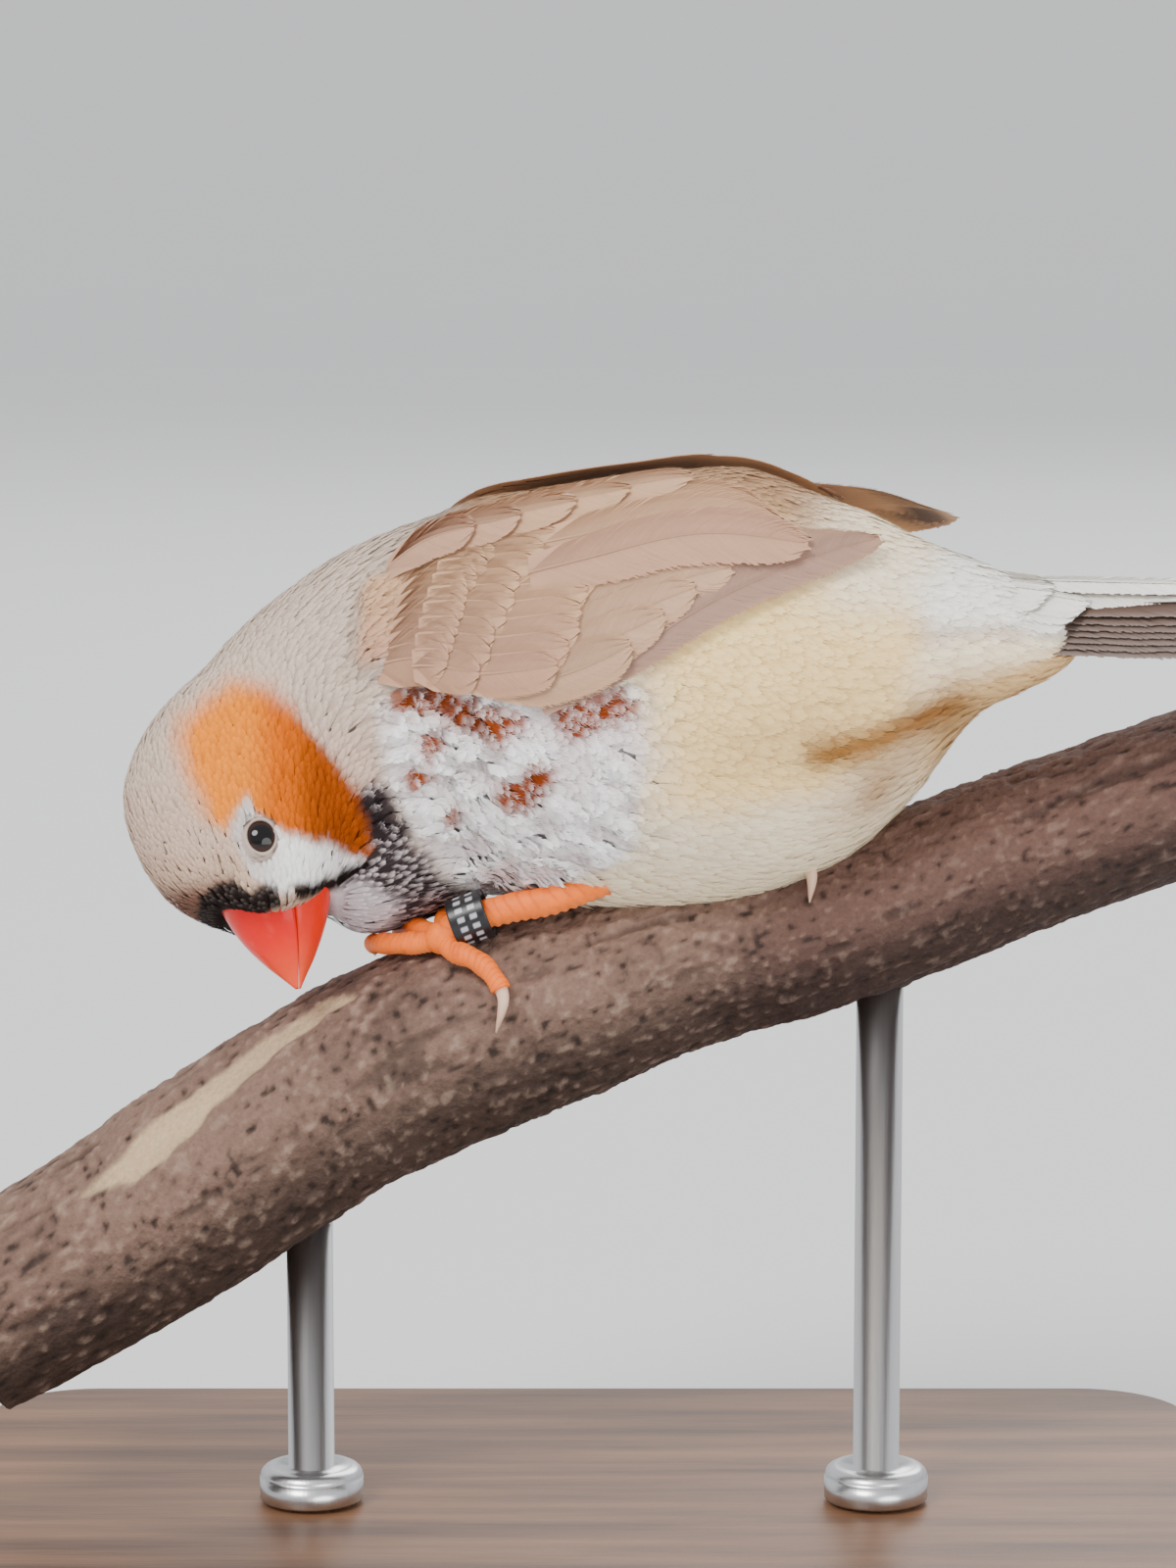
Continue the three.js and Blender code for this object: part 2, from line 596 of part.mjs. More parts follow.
function makeTail(root) {
  const feathers = TAIL_FEATHERS;
  const out = () => TAIL_UP.clone();
  const vanes = [];
  for (let k = 0; k < feathers.pairs; k++)
    for (const sign of [-1, 1]) {
      const outward = sign * (k + 0.5);
      const reach = feathers.length - feathers.shorter * k;
      const height = feathers.crown - feathers.lower * (k + (sign > 0 ? 0 : 0.5));
      vanes.push(
        vane({
          middle: (f) => tailPoint(reach * f, outward * lerp(feathers.root, feathers.tip, f), height),
          out,
          width: feathers.width - feathers.narrower * k,
          lift: [0, 0],
          tilt: -sign * feathers.tilt,
        }),
      );
    }
  for (const { count, from, to, middle, spread, width, lift } of TAIL_COVERTS)
    for (let k = 0; k < count; k++) {
      const place = (2 * k) / (count - 1) - 1;
      const end = to - OUTER_COVERT.shorter * place ** 2;
      const drop = Math.sign(lift[1]) * OUTER_COVERT.closer * place ** 2;
      vanes.push(
        vane({
          middle: (f) => tailPoint(lerp(from, end, f), lerp(...middle, f) + place * lerp(...spread, f), 0),
          out,
          width,
          lift: [lift[0] - drop, lift[1] - drop],
          tilt: -place * OUTER_COVERT.tilt,
        }),
      );
    }
  return union([root, ...vanes]);
}

// Legs. Each foot: its joint, the shank's points up from it, and the toes out from it, all as bark places
// [x, degrees, lift]. The last two points of a toe are its claw's.
const FEET = {
  left: {
    joint: [-12.4, -27, 1.6],
    shank: [[-10.3, -26.5, 2.4], [-6.6, -28, 2.6], [-3.0, -32, 2.9], [1.5, -35, 3.9]],
    toes: {
      hallux: [[-11.3, -37, 1.35], [-9.6, -46, 1.35], [-8.2, -56, 1.35], [-7.1, -70, 1.2], [-7.7, -85, 0.85]],
      inner: [[-12.1, -8, 1.35], [-12.0, 12, 1.35], [-11.8, 30, 1.35], [-11.3, 46, 1.2], [-10.6, 60, 0.85]],
      middle: [[-13.8, -14, 1.35], [-15.4, 8, 1.35], [-16.6, 34, 1.35], [-16.8, 54, 1.2], [-16.4, 70, 0.85]],
      outer: [[-14.0, -23, 1.35], [-16.2, -15, 1.35], [-17.9, -4, 1.35], [-18.5, 12, 1.2], [-18.4, 28, 0.85]],
    },
  },
  right: {
    joint: [16.6, -2, 1.6],
    shank: [[19.0, 4, 2.6], [22.0, 10, 4.2]],
    toes: {
      hallux: [[17.2, -14, 1.35], [17.8, -27, 1.35], [18.2, -38, 1.35], [18.8, -51, 1.15], [18.6, -66, 0.85]],
      inner: [[14.6, 4, 1.35], [12.6, 16, 1.35], [11.0, 32, 1.35], [10.4, 50, 1.2], [10.6, 64, 0.85]],
      middle: [[15.4, 20, 1.35], [14.2, 50, 1.35], [13.0, 82, 1.35], [12.8, 102, 1.2], [13.4, 118, 0.85]],
      outer: [[17.0, 20, 1.35], [17.4, 46, 1.35], [17.8, 70, 1.35], [18.4, 88, 1.2], [19.2, 102, 0.85]],
    },
  },
};

// The part of a curve from one share of its length to another.
function stretch(curve, from, to, count = 6) {
  const points = [];
  for (let i = 0; i <= count; i++) points.push(curve.getPointAt(lerp(from, to, i / count)));
  return new THREE.CatmullRomCurve3(points);
}

function barkCurve(places) {
  return new THREE.CatmullRomCurve3(places.map((place) => barkPoint(...place)));
}

function toeSolid(curve, margin) {
  const wave = (t) => TOE.swell * Math.cos(t * TOE.swells * 2 * Math.PI);
  const radiusAt = (t) => TOE.radius * (1 - TOE.taper * t + wave(t)) + margin;
  return tube(stretch(curve, 0, CLAW.from + (margin ? HOLLOW_MORE : 0)), radiusAt, 5, 6);
}

function clawSolid(curve, margin) {
  const gap = GAP / curve.getLength();
  const radiusAt = (t) => CLAW.radius * (1 - CLAW.taper * t ** 1.5) + margin;
  return tube(stretch(curve, CLAW.from + (margin ? -gap : gap), 1), radiusAt, 3, 6);
}

function makeLeg({ joint, shank, toes }) {
  const curves = Object.values(toes).map((places) => barkCurve([joint, ...places]));
  const shankCurve = barkCurve([joint, ...shank]);
  const middle = barkPoint(...joint);
  const footSolid = (margin) =>
    union([ball(middle, JOINT.radius + margin, 8), ...curves.map((curve) => toeSolid(curve, margin))]);
  const shankSolid = (margin) => tube(shankCurve, () => SHANK_RADIUS + margin, 6, 10);
  const socket = shankSolid(GAP).subtract(ball(middle, JOINT.socket, 6));
  const hollow = union([footSolid(GAP), shankSolid(GAP), ...curves.map((curve) => clawSolid(curve, GAP))]);
  return {
    foot: footSolid(0).subtract(socket),
    shank: largest(shankSolid(0).subtract(footSolid(GAP))),
    claws: curves.map((curve) => clawSolid(curve, 0)),
    hollow,
    shankCurve,
  };
}

// Leg ring round the left shank: a turned outline of radius and length along the shank.
function ringSolid(curve, outline) {
  const at = curve.getPointAt(RING.along);
  const ring = new THREE.LatheGeometry(outline.map(([r, y]) => new THREE.Vector2(r, y)), 24);
  const turn = new THREE.Quaternion().setFromUnitVectors(new V3(0, 1, 0), curve.getTangentAt(RING.along));
  return solid(ring.applyQuaternion(turn).translate(at.x, at.y, at.z));
}

function makeRing(curve) {
  const half = RING.length / 2;
  const { inner, outer } = RING;
  return ringSolid(curve, [[inner, -half], [outer, -half], [outer, half], [inner, half], [inner, -half]]);
}

function ringHollow(curve) {
  const [half, outer] = [RING.length / 2 + GAP, RING.outer + GAP];
  return ringSolid(curve, [[0, -half], [outer, -half], [outer, half], [0, half]]);
}

// Stand.
function makeBase() {
  const { length, width, height, corner, bevel } = BASE;
  const [x, y] = [length / 2 - bevel, width / 2 - bevel];
  const outline = new THREE.Shape();
  outline.moveTo(-x + corner, -y);
  outline.lineTo(x - corner, -y);
  outline.absarc(x - corner, -y + corner, corner, -Math.PI / 2, 0);
  outline.lineTo(x, y - corner);
  outline.absarc(x - corner, y - corner, corner, 0, Math.PI / 2);
  outline.lineTo(-x + corner, y);
  outline.absarc(-x + corner, y - corner, corner, Math.PI / 2, Math.PI);
  outline.lineTo(-x, -y + corner);
  outline.absarc(-x + corner, -y + corner, corner, Math.PI, 1.5 * Math.PI);
  const plate = new THREE.ExtrudeGeometry(outline, {
    depth: height - 2 * bevel,
    bevelEnabled: true,
    bevelThickness: bevel,
    bevelSize: bevel,
    bevelSegments: 2,
    curveSegments: 5,
  });
  return solid(plate.translate(0, 0, bevel));
}

function makeRod(x) {
  const foot = BASE.height + GAP;
  const bevel = COLLAR.bevel;
  const top = branchFrame(branchT(x)).centre.z;
  const profile = [
    [0, foot],
    [COLLAR.radius, foot],
    [COLLAR.radius, foot + COLLAR.height - bevel],
    [COLLAR.radius - bevel, foot + COLLAR.height],
    [ROD_RADIUS, foot + COLLAR.height],
    [ROD_RADIUS, top],
    [0, top],
  ].map(([r, z]) => new THREE.Vector2(r, z));
  const rod = new THREE.LatheGeometry(profile, 16).rotateX(Math.PI / 2).translate(x, BRANCH_Y, 0);
  return solid(rod).subtract(branchSolid(GAP));
}

const finishes = {
  plumage: { color: 0xa89684, roughness: 0.85, metalness: 0 },
  bill: { color: 0xe2402a, roughness: 0.35, metalness: 0 },
  eye: { color: 0x120a08, roughness: 0.08, metalness: 0 },
  legs: { color: 0xee7a2e, roughness: 0.5, metalness: 0 },
  claw: { color: 0xf0b08a, roughness: 0.4, metalness: 0 },
  ring: { color: 0x16161a, roughness: 0.35, metalness: 0 },
  bark: { color: 0x6e5c50, roughness: 0.9, metalness: 0 },
  base: { color: 0x8a6a4a, roughness: 0.6, metalness: 0 },
  rod: { color: 0xb8b8bc, roughness: 0.3, metalness: 1 },
};

const group = new THREE.Group();
function add(name, body, finish) {
  const mesh = new THREE.Mesh(geometryOf(body), new THREE.MeshStandardMaterial(finishes[finish]));
  mesh.name = name;
  group.add(mesh);
}

const legs = { left: makeLeg(FEET.left), right: makeLeg(FEET.right) };
const ringSpace = ringHollow(legs.left.shankCurve);
legs.left.foot = legs.left.foot.subtract(ringSpace);

const head = union([loft(headPoint, 12, 18), lidRing(1), lidRing(-1)]);
let flesh = union([loft(bodyPoint, 20, 20), loft(neckPoint, 7, 16), head]);
flesh = flesh.subtract(union([billSolid(GAP), branchSolid(GAP), legs.left.hollow, legs.right.hollow]));
flesh = flesh.subtract(ringSpace);
for (const sign of [1, -1]) flesh = flesh.subtract(ball(eyeCentre(sign), EYE.radius + GAP));
const [headPart, behindHead] = part(flesh, HEAD_CUT);
const [neckPart, behindNeck] = part(behindHead, NECK_CUT);
const [torsoPart, tailRoot] = part(behindNeck, TAIL_CUT);
const [, behindTailCut] = part(makeTail(tailRoot), TAIL_CUT);

add("head", largest(headPart), "plumage");
add("neck", largest(neckPart), "plumage");
add("torso", largest(torsoPart), "plumage");
add("tail", largest(behindTailCut, FEATHER_DETAIL), "plumage");
for (const [name, body] of Object.entries(makeBill())) add(name, body, "bill");
add("eye_left", ball(eyeCentre(1), EYE.radius), "eye");
add("eye_right", ball(eyeCentre(-1), EYE.radius), "eye");
add("wing_left", makeWing({ side: 1, reach: 0, rise: 0, height: 1, seed: 13 }), "plumage");
add("wing_right", makeWing({ side: -1, reach: 0.07, rise: 1.8, height: 0.62, seed: 12 }), "plumage");
for (const [side, leg] of Object.entries(legs)) {
  add(`shank_${side}`, leg.shank, "legs");
  add(`foot_${side}`, largest(leg.foot), "legs");
  Object.keys(FEET[side].toes).forEach((toe, k) => add(`claw_${side}_${toe}`, leg.claws[k], "claw"));
}
add("leg_ring", makeRing(legs.left.shankCurve), "ring");
add("perch", branchSolid(0), "bark");
add("stand_base", makeBase(), "base");
add("stand_rod_front", makeRod(ROD_PLACES[0]), "rod");
add("stand_rod_rear", makeRod(ROD_PLACES[1]), "rod");

export default group;
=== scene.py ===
# A zebra finch, life size, leaning forward on a short cut length of branch over a flat base with two rods.
# Millimetres until a mesh is made. The bird faces -X with its left side towards -Y.
import math

import bpy
import numpy as np
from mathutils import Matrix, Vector
from mathutils.bvhtree import BVHTree
from mathutils.kdtree import KDTree


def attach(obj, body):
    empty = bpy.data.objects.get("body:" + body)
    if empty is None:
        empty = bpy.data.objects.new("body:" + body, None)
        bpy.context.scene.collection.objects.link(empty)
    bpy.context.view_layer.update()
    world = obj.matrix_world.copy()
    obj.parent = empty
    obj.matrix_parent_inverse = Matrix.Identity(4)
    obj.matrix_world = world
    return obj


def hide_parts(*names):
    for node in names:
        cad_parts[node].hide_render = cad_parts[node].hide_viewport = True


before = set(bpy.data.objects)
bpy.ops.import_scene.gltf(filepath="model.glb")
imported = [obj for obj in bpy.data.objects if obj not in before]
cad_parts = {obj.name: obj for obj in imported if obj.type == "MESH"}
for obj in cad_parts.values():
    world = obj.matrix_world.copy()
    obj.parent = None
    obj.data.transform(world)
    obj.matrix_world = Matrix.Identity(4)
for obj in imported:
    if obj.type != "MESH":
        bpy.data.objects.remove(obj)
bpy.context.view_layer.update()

MM = 0.001


def turned(a, b, angle):
    """The direction a, turned by an angle towards the direction b that stands square on it."""
    return a * math.cos(angle) + b * math.sin(angle)


# Stance of the body: turned away from the viewer, and rolled so that the back shows.
BODY_YAW = math.radians(14)
BODY_ROLL = math.radians(8)
BODY_MIDDLE_X = 8

# Body sections from breast to tail root: dorsal x, dorsal z, ventral x, ventral z, half width.
TORSO_SECTIONS = [
    [-17.1, 85.1, -16.7, 67.6, 7.0],
    [-15.4, 90.7, -14.0, 63.9, 11.6],
    [-10.8, 94.8, -7.5, 62.4, 14.2],
    [-4.6, 96.0, -2.1, 60.4, 15.3],
    [3.3, 97.3, 4.6, 59.7, 15.6],
    [12.1, 98.2, 12.9, 61.0, 15.0],
    [20.8, 95.4, 20.8, 64.6, 13.2],
    [27.5, 92.4, 26.3, 70.0, 10.6],
    [32.1, 90.6, 31.3, 77.0, 8.2],
    [36.7, 88.3, 37.5, 80.6, 6.0],
    [39.6, 86.3, 40.0, 82.6, 4.0],
]
# Neck sections from inside the head to inside the body: the same five sizes, then the y of the middle.
NECK_SECTIONS = [
    [-37.5, 74.3, -22.5, 63.0, 7.0, 0.5],
    [-32.3, 81.6, -21.2, 58.6, 8.2, 1.2],
    [-27.7, 86.1, -17.8, 57.6, 9.0, 2.2],
    [-22.1, 89.9, -13.5, 60.1, 11.2, 3.4],
    [-16.7, 92.4, -10.0, 62.4, 13.0, 4.2],
    [-10.8, 94.2, -6.7, 63.5, 13.8, 4.5],
]
# Head: it points down along BILL_LINE in the side view. Its bill is turned towards the viewer, and its crown
# is rolled towards the viewer.
VIEWER = np.array([0.0, -1.0, 0.0])
BILL_LINE = np.array([0.25, 0.0, -0.97]) / math.hypot(0.25, 0.97)
CROWN_LINE = np.array([BILL_LINE[2], 0.0, -BILL_LINE[0]])
HEAD_TURN = math.radians(22)
HEAD_ROLL = math.radians(9)
TURNED_SIDE = turned(VIEWER, BILL_LINE, -HEAD_TURN)
BILL_WAY = turned(BILL_LINE, VIEWER, HEAD_TURN)
CROWN_WAY = turned(CROWN_LINE, TURNED_SIDE, HEAD_ROLL)
HEAD_LEFT = turned(TURNED_SIDE, CROWN_LINE, -HEAD_ROLL)
BILL_BASE = np.array([-28.2, 0.0, 70.3]) + 9 * BILL_WAY
# Head sections counted back from the bill's base: distance, height to the crown, depth to the throat and
# half width.
HEAD_SECTIONS = [
    [-0.3, 7.0, 5.2, 6.0],
    [1.0, 9.0, 6.6, 7.3],
    [3.5, 10.5, 8.4, 8.6],
    [7.0, 11.3, 9.6, 9.3],
    [10.4, 11.3, 9.8, 9.4],
    [13.5, 10.0, 8.8, 9.2],
    [16.5, 7.5, 7.0, 7.8],
    [19.0, 4.0, 4.5, 5.0],
]
# How far the feathers beside the bill reach past its base, and how far back that reach fades out.
LORE_REACH = 2.3
LORE_FADE = 6.0
# Bill sections counted forward from its base: distance, height of the culmen, depth of the chin, half width.
BILL_SECTIONS = [
    [-1.6, 4.9, 4.3, 3.9],
    [0.0, 5.2, 4.5, 4.2],
    [2.0, 4.7, 3.9, 3.8],
    [4.0, 3.8, 3.0, 3.1],
    [6.0, 2.5, 1.8, 2.0],
    [7.5, 1.3, 0.7, 0.9],
    [8.5, 0.5, 0.0, 0.25],
]
# Height of the mouth line at the bill's base and at its tip.
MOUTH_BASE = -0.9
MOUTH_TIP = 0.2
MOUTH_GAP = 0.03
# Eye: place in the head, ball radius, and the opening between the lids along the head and across it.
EYE_BACK = 2.9
EYE_UP = 0.9
EYE_SIDE = 8.5
EYE_RADIUS = 2.2
EYE_SEEN = 1.4
EYE_OPENING = (1.34, 1.12)

# Branch: middle line (x, z) and radius, from its thick end to its thin end.
BRANCH_Y = 0.5
BRANCH_SECTIONS = [
    [-53.5, 23.9, 8.3],
    [-41.7, 30.6, 8.6],
    [-33.3, 36.2, 8.9],
    [-24.5, 42.1, 8.9],
    [-16.7, 46.5, 9.0],
    [-8.3, 50.1, 8.8],
    [0.0, 53.0, 8.2],
    [8.3, 55.9, 7.5],
    [16.7, 58.0, 7.1],
    [25.0, 60.6, 7.0],
    [33.3, 63.9, 6.8],
    [41.7, 66.9, 6.7],
    [53.5, 71.3, 6.7],
]

# Legs. Each foot: its joint, the shank's points up from it, and the toes out from it, all as bark places
# [x, degrees from the top, height over the bark].
FEET = {
    "left": {
        "joint": [-12.4, -27, 1.6],
        "shank": [[-10.3, -26.5, 2.4], [-6.6, -28, 2.6], [-3.0, -32, 2.9], [1.5, -35, 3.9]],
        "toes": {
            "hallux": [
                [-11.3, -37, 1.35], [-9.6, -46, 1.35], [-8.2, -56, 1.35], [-7.1, -70, 1.2], [-7.7, -85, 0.85],
            ],
            "inner": [
                [-12.1, -8, 1.35], [-12.0, 12, 1.35], [-11.8, 30, 1.35], [-11.3, 46, 1.2], [-10.6, 60, 0.85],
            ],
            "middle": [
                [-13.8, -14, 1.35], [-15.4, 8, 1.35], [-16.6, 34, 1.35], [-16.8, 54, 1.2], [-16.4, 70, 0.85],
            ],
            "outer": [
                [-14.0, -23, 1.35], [-16.2, -15, 1.35], [-17.9, -4, 1.35], [-18.5, 12, 1.2],
                [-18.4, 28, 0.85],
            ],
        },
    },
    "right": {
        "joint": [16.6, -2, 1.6],
        "shank": [[19.0, 4, 2.6], [22.0, 10, 4.2]],
        "toes": {
            "hallux": [
                [17.2, -14, 1.35], [17.8, -27, 1.35], [18.2, -38, 1.35], [18.8, -51, 1.15], [18.6, -66, 0.85],
            ],
            "inner": [
                [14.6, 4, 1.35], [12.6, 16, 1.35], [11.0, 32, 1.35], [10.4, 50, 1.2], [10.6, 64, 0.85],
            ],
            "middle": [
                [15.4, 20, 1.35], [14.2, 50, 1.35], [13.0, 82, 1.35], [12.8, 102, 1.2], [13.4, 118, 0.85],
            ],
            "outer": [
                [17.0, 20, 1.35], [17.4, 46, 1.35], [17.8, 70, 1.35], [18.4, 88, 1.2], [19.2, 102, 0.85],
            ],
        },
    },
}
SHANK_RADIUS = 1.3
JOINT_RADIUS = 1.42
# Points along the middle line of a shank and of a toe with its claw, and the plates along each.
SHANK_STEPS, SHANK_PLATES = 120, 13
TOE_STEPS, TOE_PLATES = 150, 15
TOE_RADIUS = 1.02
CLAW_RADIUS = 0.55
CLAW_SHARE = 0.66
RING_ALONG = 0.2
RING_LENGTH = 3.2
RING_OUTER = 2.15
RING_INNER = 1.6
RING_BARS = 16
RING_ROUND = 0.12
# Its bars: the place and half length of both rows as shares of half the ring's length, the share of each cell
# that a bar fills, and how silvery it is.
RING_BAR_PLACE = 0.36
RING_BAR_HALF = 0.2
RING_BAR_SHARE = 0.48
RING_BAR_STRENGTH = 0.75
RING_BLACK = (22, 22, 26)
RING_SILVER = (196, 198, 204)

# Tail: its root's place, the way it points, and how far it is rolled towards the viewer.
TAIL_ROOT = np.array([34.0, (BODY_MIDDLE_X - 34) * math.tan(BODY_YAW), 85.2])
TAIL_ROLL = math.radians(16)

# Stand.
BASE_LENGTH = 112
BASE_WIDTH = 78
BASE_HEIGHT = 8
BASE_CORNER = 10
BASE_BEVEL = 1.0
ROD_RADIUS = 2
COLLAR_RADIUS = 4.5
COLLAR_HEIGHT = 3
ROD_PLACES = {"front": -24, "rear": 25}
ROD_GAP = 0.3

# How far the skin lies inside the coat's even outer surface.
HEAD_DEPTH = 0.5
NECK_DEPTH = 0.8
BODY_DEPTH = 0.9


# Numbers and noise.
def unit(v):
    return v / np.maximum(np.linalg.norm(v, axis=-1, keepdims=True), 1e-9)


def mix(a, b, share):
    """a where share is 0 and b where it is 1. Colours take one share each."""
    share = np.asarray(share, float)
    if share.ndim and 3 in (np.shape(a)[-1:] + np.shape(b)[-1:]) and share.shape[-1] != 1:
        share = share[..., None]
    return a + (b - a) * share


def ramp(x, low, high):
    """0 at low, 1 at high, smooth between them."""
    f = np.clip((x - low) / (high - low), 0, 1)
    return f * f * (3 - 2 * f)


def colour(red, green, blue):
    """Linear light from screen values of 0 to 255."""
    s = np.array([red, green, blue]) / 255
    return np.where(s <= 0.04045, s / 12.92, ((s + 0.055) / 1.055) ** 2.4)


def noise(points, size, seed=0):
    """Smooth noise from -1 to 1. It changes over about this size in millimetres, which may differ by axis."""
    p = np.asarray(points, float) / size + 17.3 * seed
    cell = np.floor(p).astype(np.int64)
    f = p - cell
    f = f * f * (3 - 2 * f)
    total = np.zeros(p.shape[:-1])
    for corner in np.ndindex(2, 2, 2):
        c = cell + np.array(corner)
        key = (c[..., 0] * 73856093) ^ (c[..., 1] * 19349663) ^ (c[..., 2] * 83492791)
        key = (key ^ (key >> 13)) * 1274126177
        value = ((key ^ (key >> 16)) & 0xFFFF) / 32767.5 - 1
        total += value * np.prod(np.where(corner, f, 1 - f), axis=-1)
    return total


def layered_noise(points, size, seed=0):
    """Noise with two finer layers on it."""
    size = np.asarray(size, float)
    middle = 0.5 * noise(points, size / 2.1, seed + 1)
    fine = 0.25 * noise(points, size / 4.3, seed + 2)
    return noise(points, size, seed) + middle + fine


def inside(u, v, outline, soft):
    """1 inside an outline of (u, v) corners and 0 outside it, with an edge as soft as this distance."""
    corners = np.array(outline, float)
    nearest = np.full(np.shape(u), np.inf)
    crossings = np.zeros(np.shape(u), int)
    for (au, av), (bu, bv) in zip(corners, np.roll(corners, -1, axis=0)):
        eu, ev = bu - au, bv - av
        f = np.clip(((u - au) * eu + (v - av) * ev) / (eu * eu + ev * ev), 0, 1)
        nearest = np.minimum(nearest, np.hypot(u - au - f * eu, v - av - f * ev))
        if ev:
            crossings += ((av > v) != (bv > v)) & (u < au + (v - av) / ev * eu)
    return ramp(np.where(crossings % 2 == 1, nearest, -nearest), -soft, soft)


# The body's sections.
def row_at(rows, t):
    """Smooth value of a table of sections at t, from 0 at its first row to 1 at its last."""
    rows = np.asarray(rows, float)
    last = len(rows) - 1
    x = np.clip(t, 0, 1) * last
    i = np.minimum(np.floor(x).astype(int), last - 1)
    f = (x - i)[..., None]
    b, c = rows[i], rows[i + 1]
    a = np.where((i > 0)[..., None], rows[np.maximum(i - 1, 0)], 2 * b - c)
    d = np.where((i + 2 <= last)[..., None], rows[np.minimum(i + 2, last)], 2 * c - b)
    return 0.5 * (2 * b + (c - a) * f + (2 * a - 5 * b + 4 * c - d) * f**2 + (3 * b - a - 3 * c + d) * f**3)


def body_frame(t):
    """The body's middle at t, its up and right directions, its half height and its half width."""
    dx, dz, vx, vz, width = np.moveaxis(row_at(TORSO_SECTIONS, t), -1, 0)
    half = np.hypot(dx - vx, dz - vz) / 2
    spine = np.stack([(dx - vx) / (2 * half), 0 * half, (dz - vz) / (2 * half)], -1)
    right = np.array([math.sin(BODY_YAW), math.cos(BODY_YAW), 0])
    up = turned(spine, right, -BODY_ROLL)
    side = turned(right, spine, BODY_ROLL)
    x = (dx + vx) / 2
    centre = np.stack([x, (BODY_MIDDLE_X - x) * math.tan(BODY_YAW), (dz + vz) / 2], -1)
    return centre, up, side, half, width


def body_point(t, turn, lift=0.0):
    """The body's surface. turn is in radians: 0 on the back, a quarter turn on the left, a half below."""
    t, turn, lift = np.broadcast_arrays(t, turn, lift)
    centre, up, side, half, width = body_frame(t)
    return (
        centre
        + up * ((half + lift) * np.cos(turn))[..., None]
        - side * ((width + lift) * np.sin(turn))[..., None]
    )


def body_normal(t, turn):
    step = 0.002
    along = body_point(t + step, turn) - body_point(t - step, turn)
    around = body_point(t, turn + step) - body_point(t, turn - step)
    return unit(np.cross(around, along))


def body_place(points):
    """t and turn of the body's sections through these points."""
    low, high = np.zeros(len(points)), np.ones(len(points))
    for _ in range(22):
        t = (low + high) / 2
        centre, up, side, half, width = body_frame(t)
        past = np.einsum("ij,ij->i", points - centre, np.cross(side, up)) > 0
        low, high = np.where(past, t, low), np.where(past, high, t)
    d = points - centre
    return t, np.arctan2(-np.einsum("ij,ij->i", d, side) / width, np.einsum("ij,ij->i", d, up) / half)


def neck_point(t, turn, lift=0.0):
    dx, dz, vx, vz, width, y = np.moveaxis(row_at(NECK_SECTIONS, t), -1, 0)
    half = np.hypot(dx - vx, dz - vz) / 2
    up = np.stack([(dx - vx) / (2 * half), 0 * half, (dz - vz) / (2 * half)], -1)
    middle = np.stack([(dx + vx) / 2, y - (width + lift) * np.sin(turn), (dz + vz) / 2], -1)
    return middle + up * ((half + lift) * np.cos(turn))[..., None]


def head_at(back, up, side):
    """The place in the model of a place in the head: back from the bill's base, up to the crown, and left."""
    back, up, side = (np.asarray(value, float)[..., None] for value in (back, up, side))
    return BILL_BASE - BILL_WAY * back + CROWN_WAY * up + HEAD_LEFT * side


def head_place(points):
    """Back, up and left of points, counted from the bill's base."""
    d = points - BILL_BASE
    return -(d @ BILL_WAY), d @ CROWN_WAY, d @ HEAD_LEFT


def head_point(t, turn, lift=0.0):
    back, crown, throat, width = np.moveaxis(row_at(HEAD_SECTIONS, t), -1, 0)
    cos, sin = np.cos(turn), np.sin(turn)
    lore = LORE_REACH * sin**2 * np.maximum(0, 1 - back / LORE_FADE)
    return head_at(back - lore, cos * (np.where(cos > 0, crown, throat) + lift), sin * (width + lift))


# Meshes.
def grid_faces(rows, columns, closed=False, first=0):
    """Four-cornered faces of a grid of points. closed joins the last point of each row to its first."""
    i, j = np.meshgrid(np.arange(rows - 1), np.arange(columns if closed else columns - 1), indexing="ij")
    a = i * columns + j
    b = i * columns + (j + 1) % columns
    return first + np.stack([a, b, b + columns, a + columns], -1).reshape(-1, 4)


def closed_rows(points):
    """Corners and faces of a body through closed rows of points, with both ends filled in."""
    rows, columns = points.shape[:2]
    corners = np.concatenate([points.reshape(-1, 3), points[:1].mean(1), points[-1:].mean(1)])
    j = np.arange(columns)
    k = (j + 1) % columns
    start, end = rows * columns, rows * columns + 1
    last = (rows - 1) * columns
    first_cap = np.stack([np.full(columns, start), k, j], 1)
    last_cap = np.stack([np.full(columns, end), last + j, last + k], 1)
    return corners, [grid_faces(rows, columns, True), np.concatenate([first_cap, last_cap])]


def joined(parts):
    """One list of corners and faces from several."""
    corners, faces, first = [], [], 0
    for points, groups in parts:
        corners.append(points)
        faces += [group + first for group in (groups if isinstance(groups, list) else [groups])]
        first += len(points)
    return np.concatenate(corners), faces


def set_tints(mesh, tints):
    """Gives the corners of a mesh their colours."""
    layer = mesh.color_attributes.new("tint", "FLOAT_COLOR", "POINT")
    values = np.concatenate([tints, np.ones((len(tints), 1))], 1)
    layer.data.foreach_set("color", values.ravel().astype(np.float32))


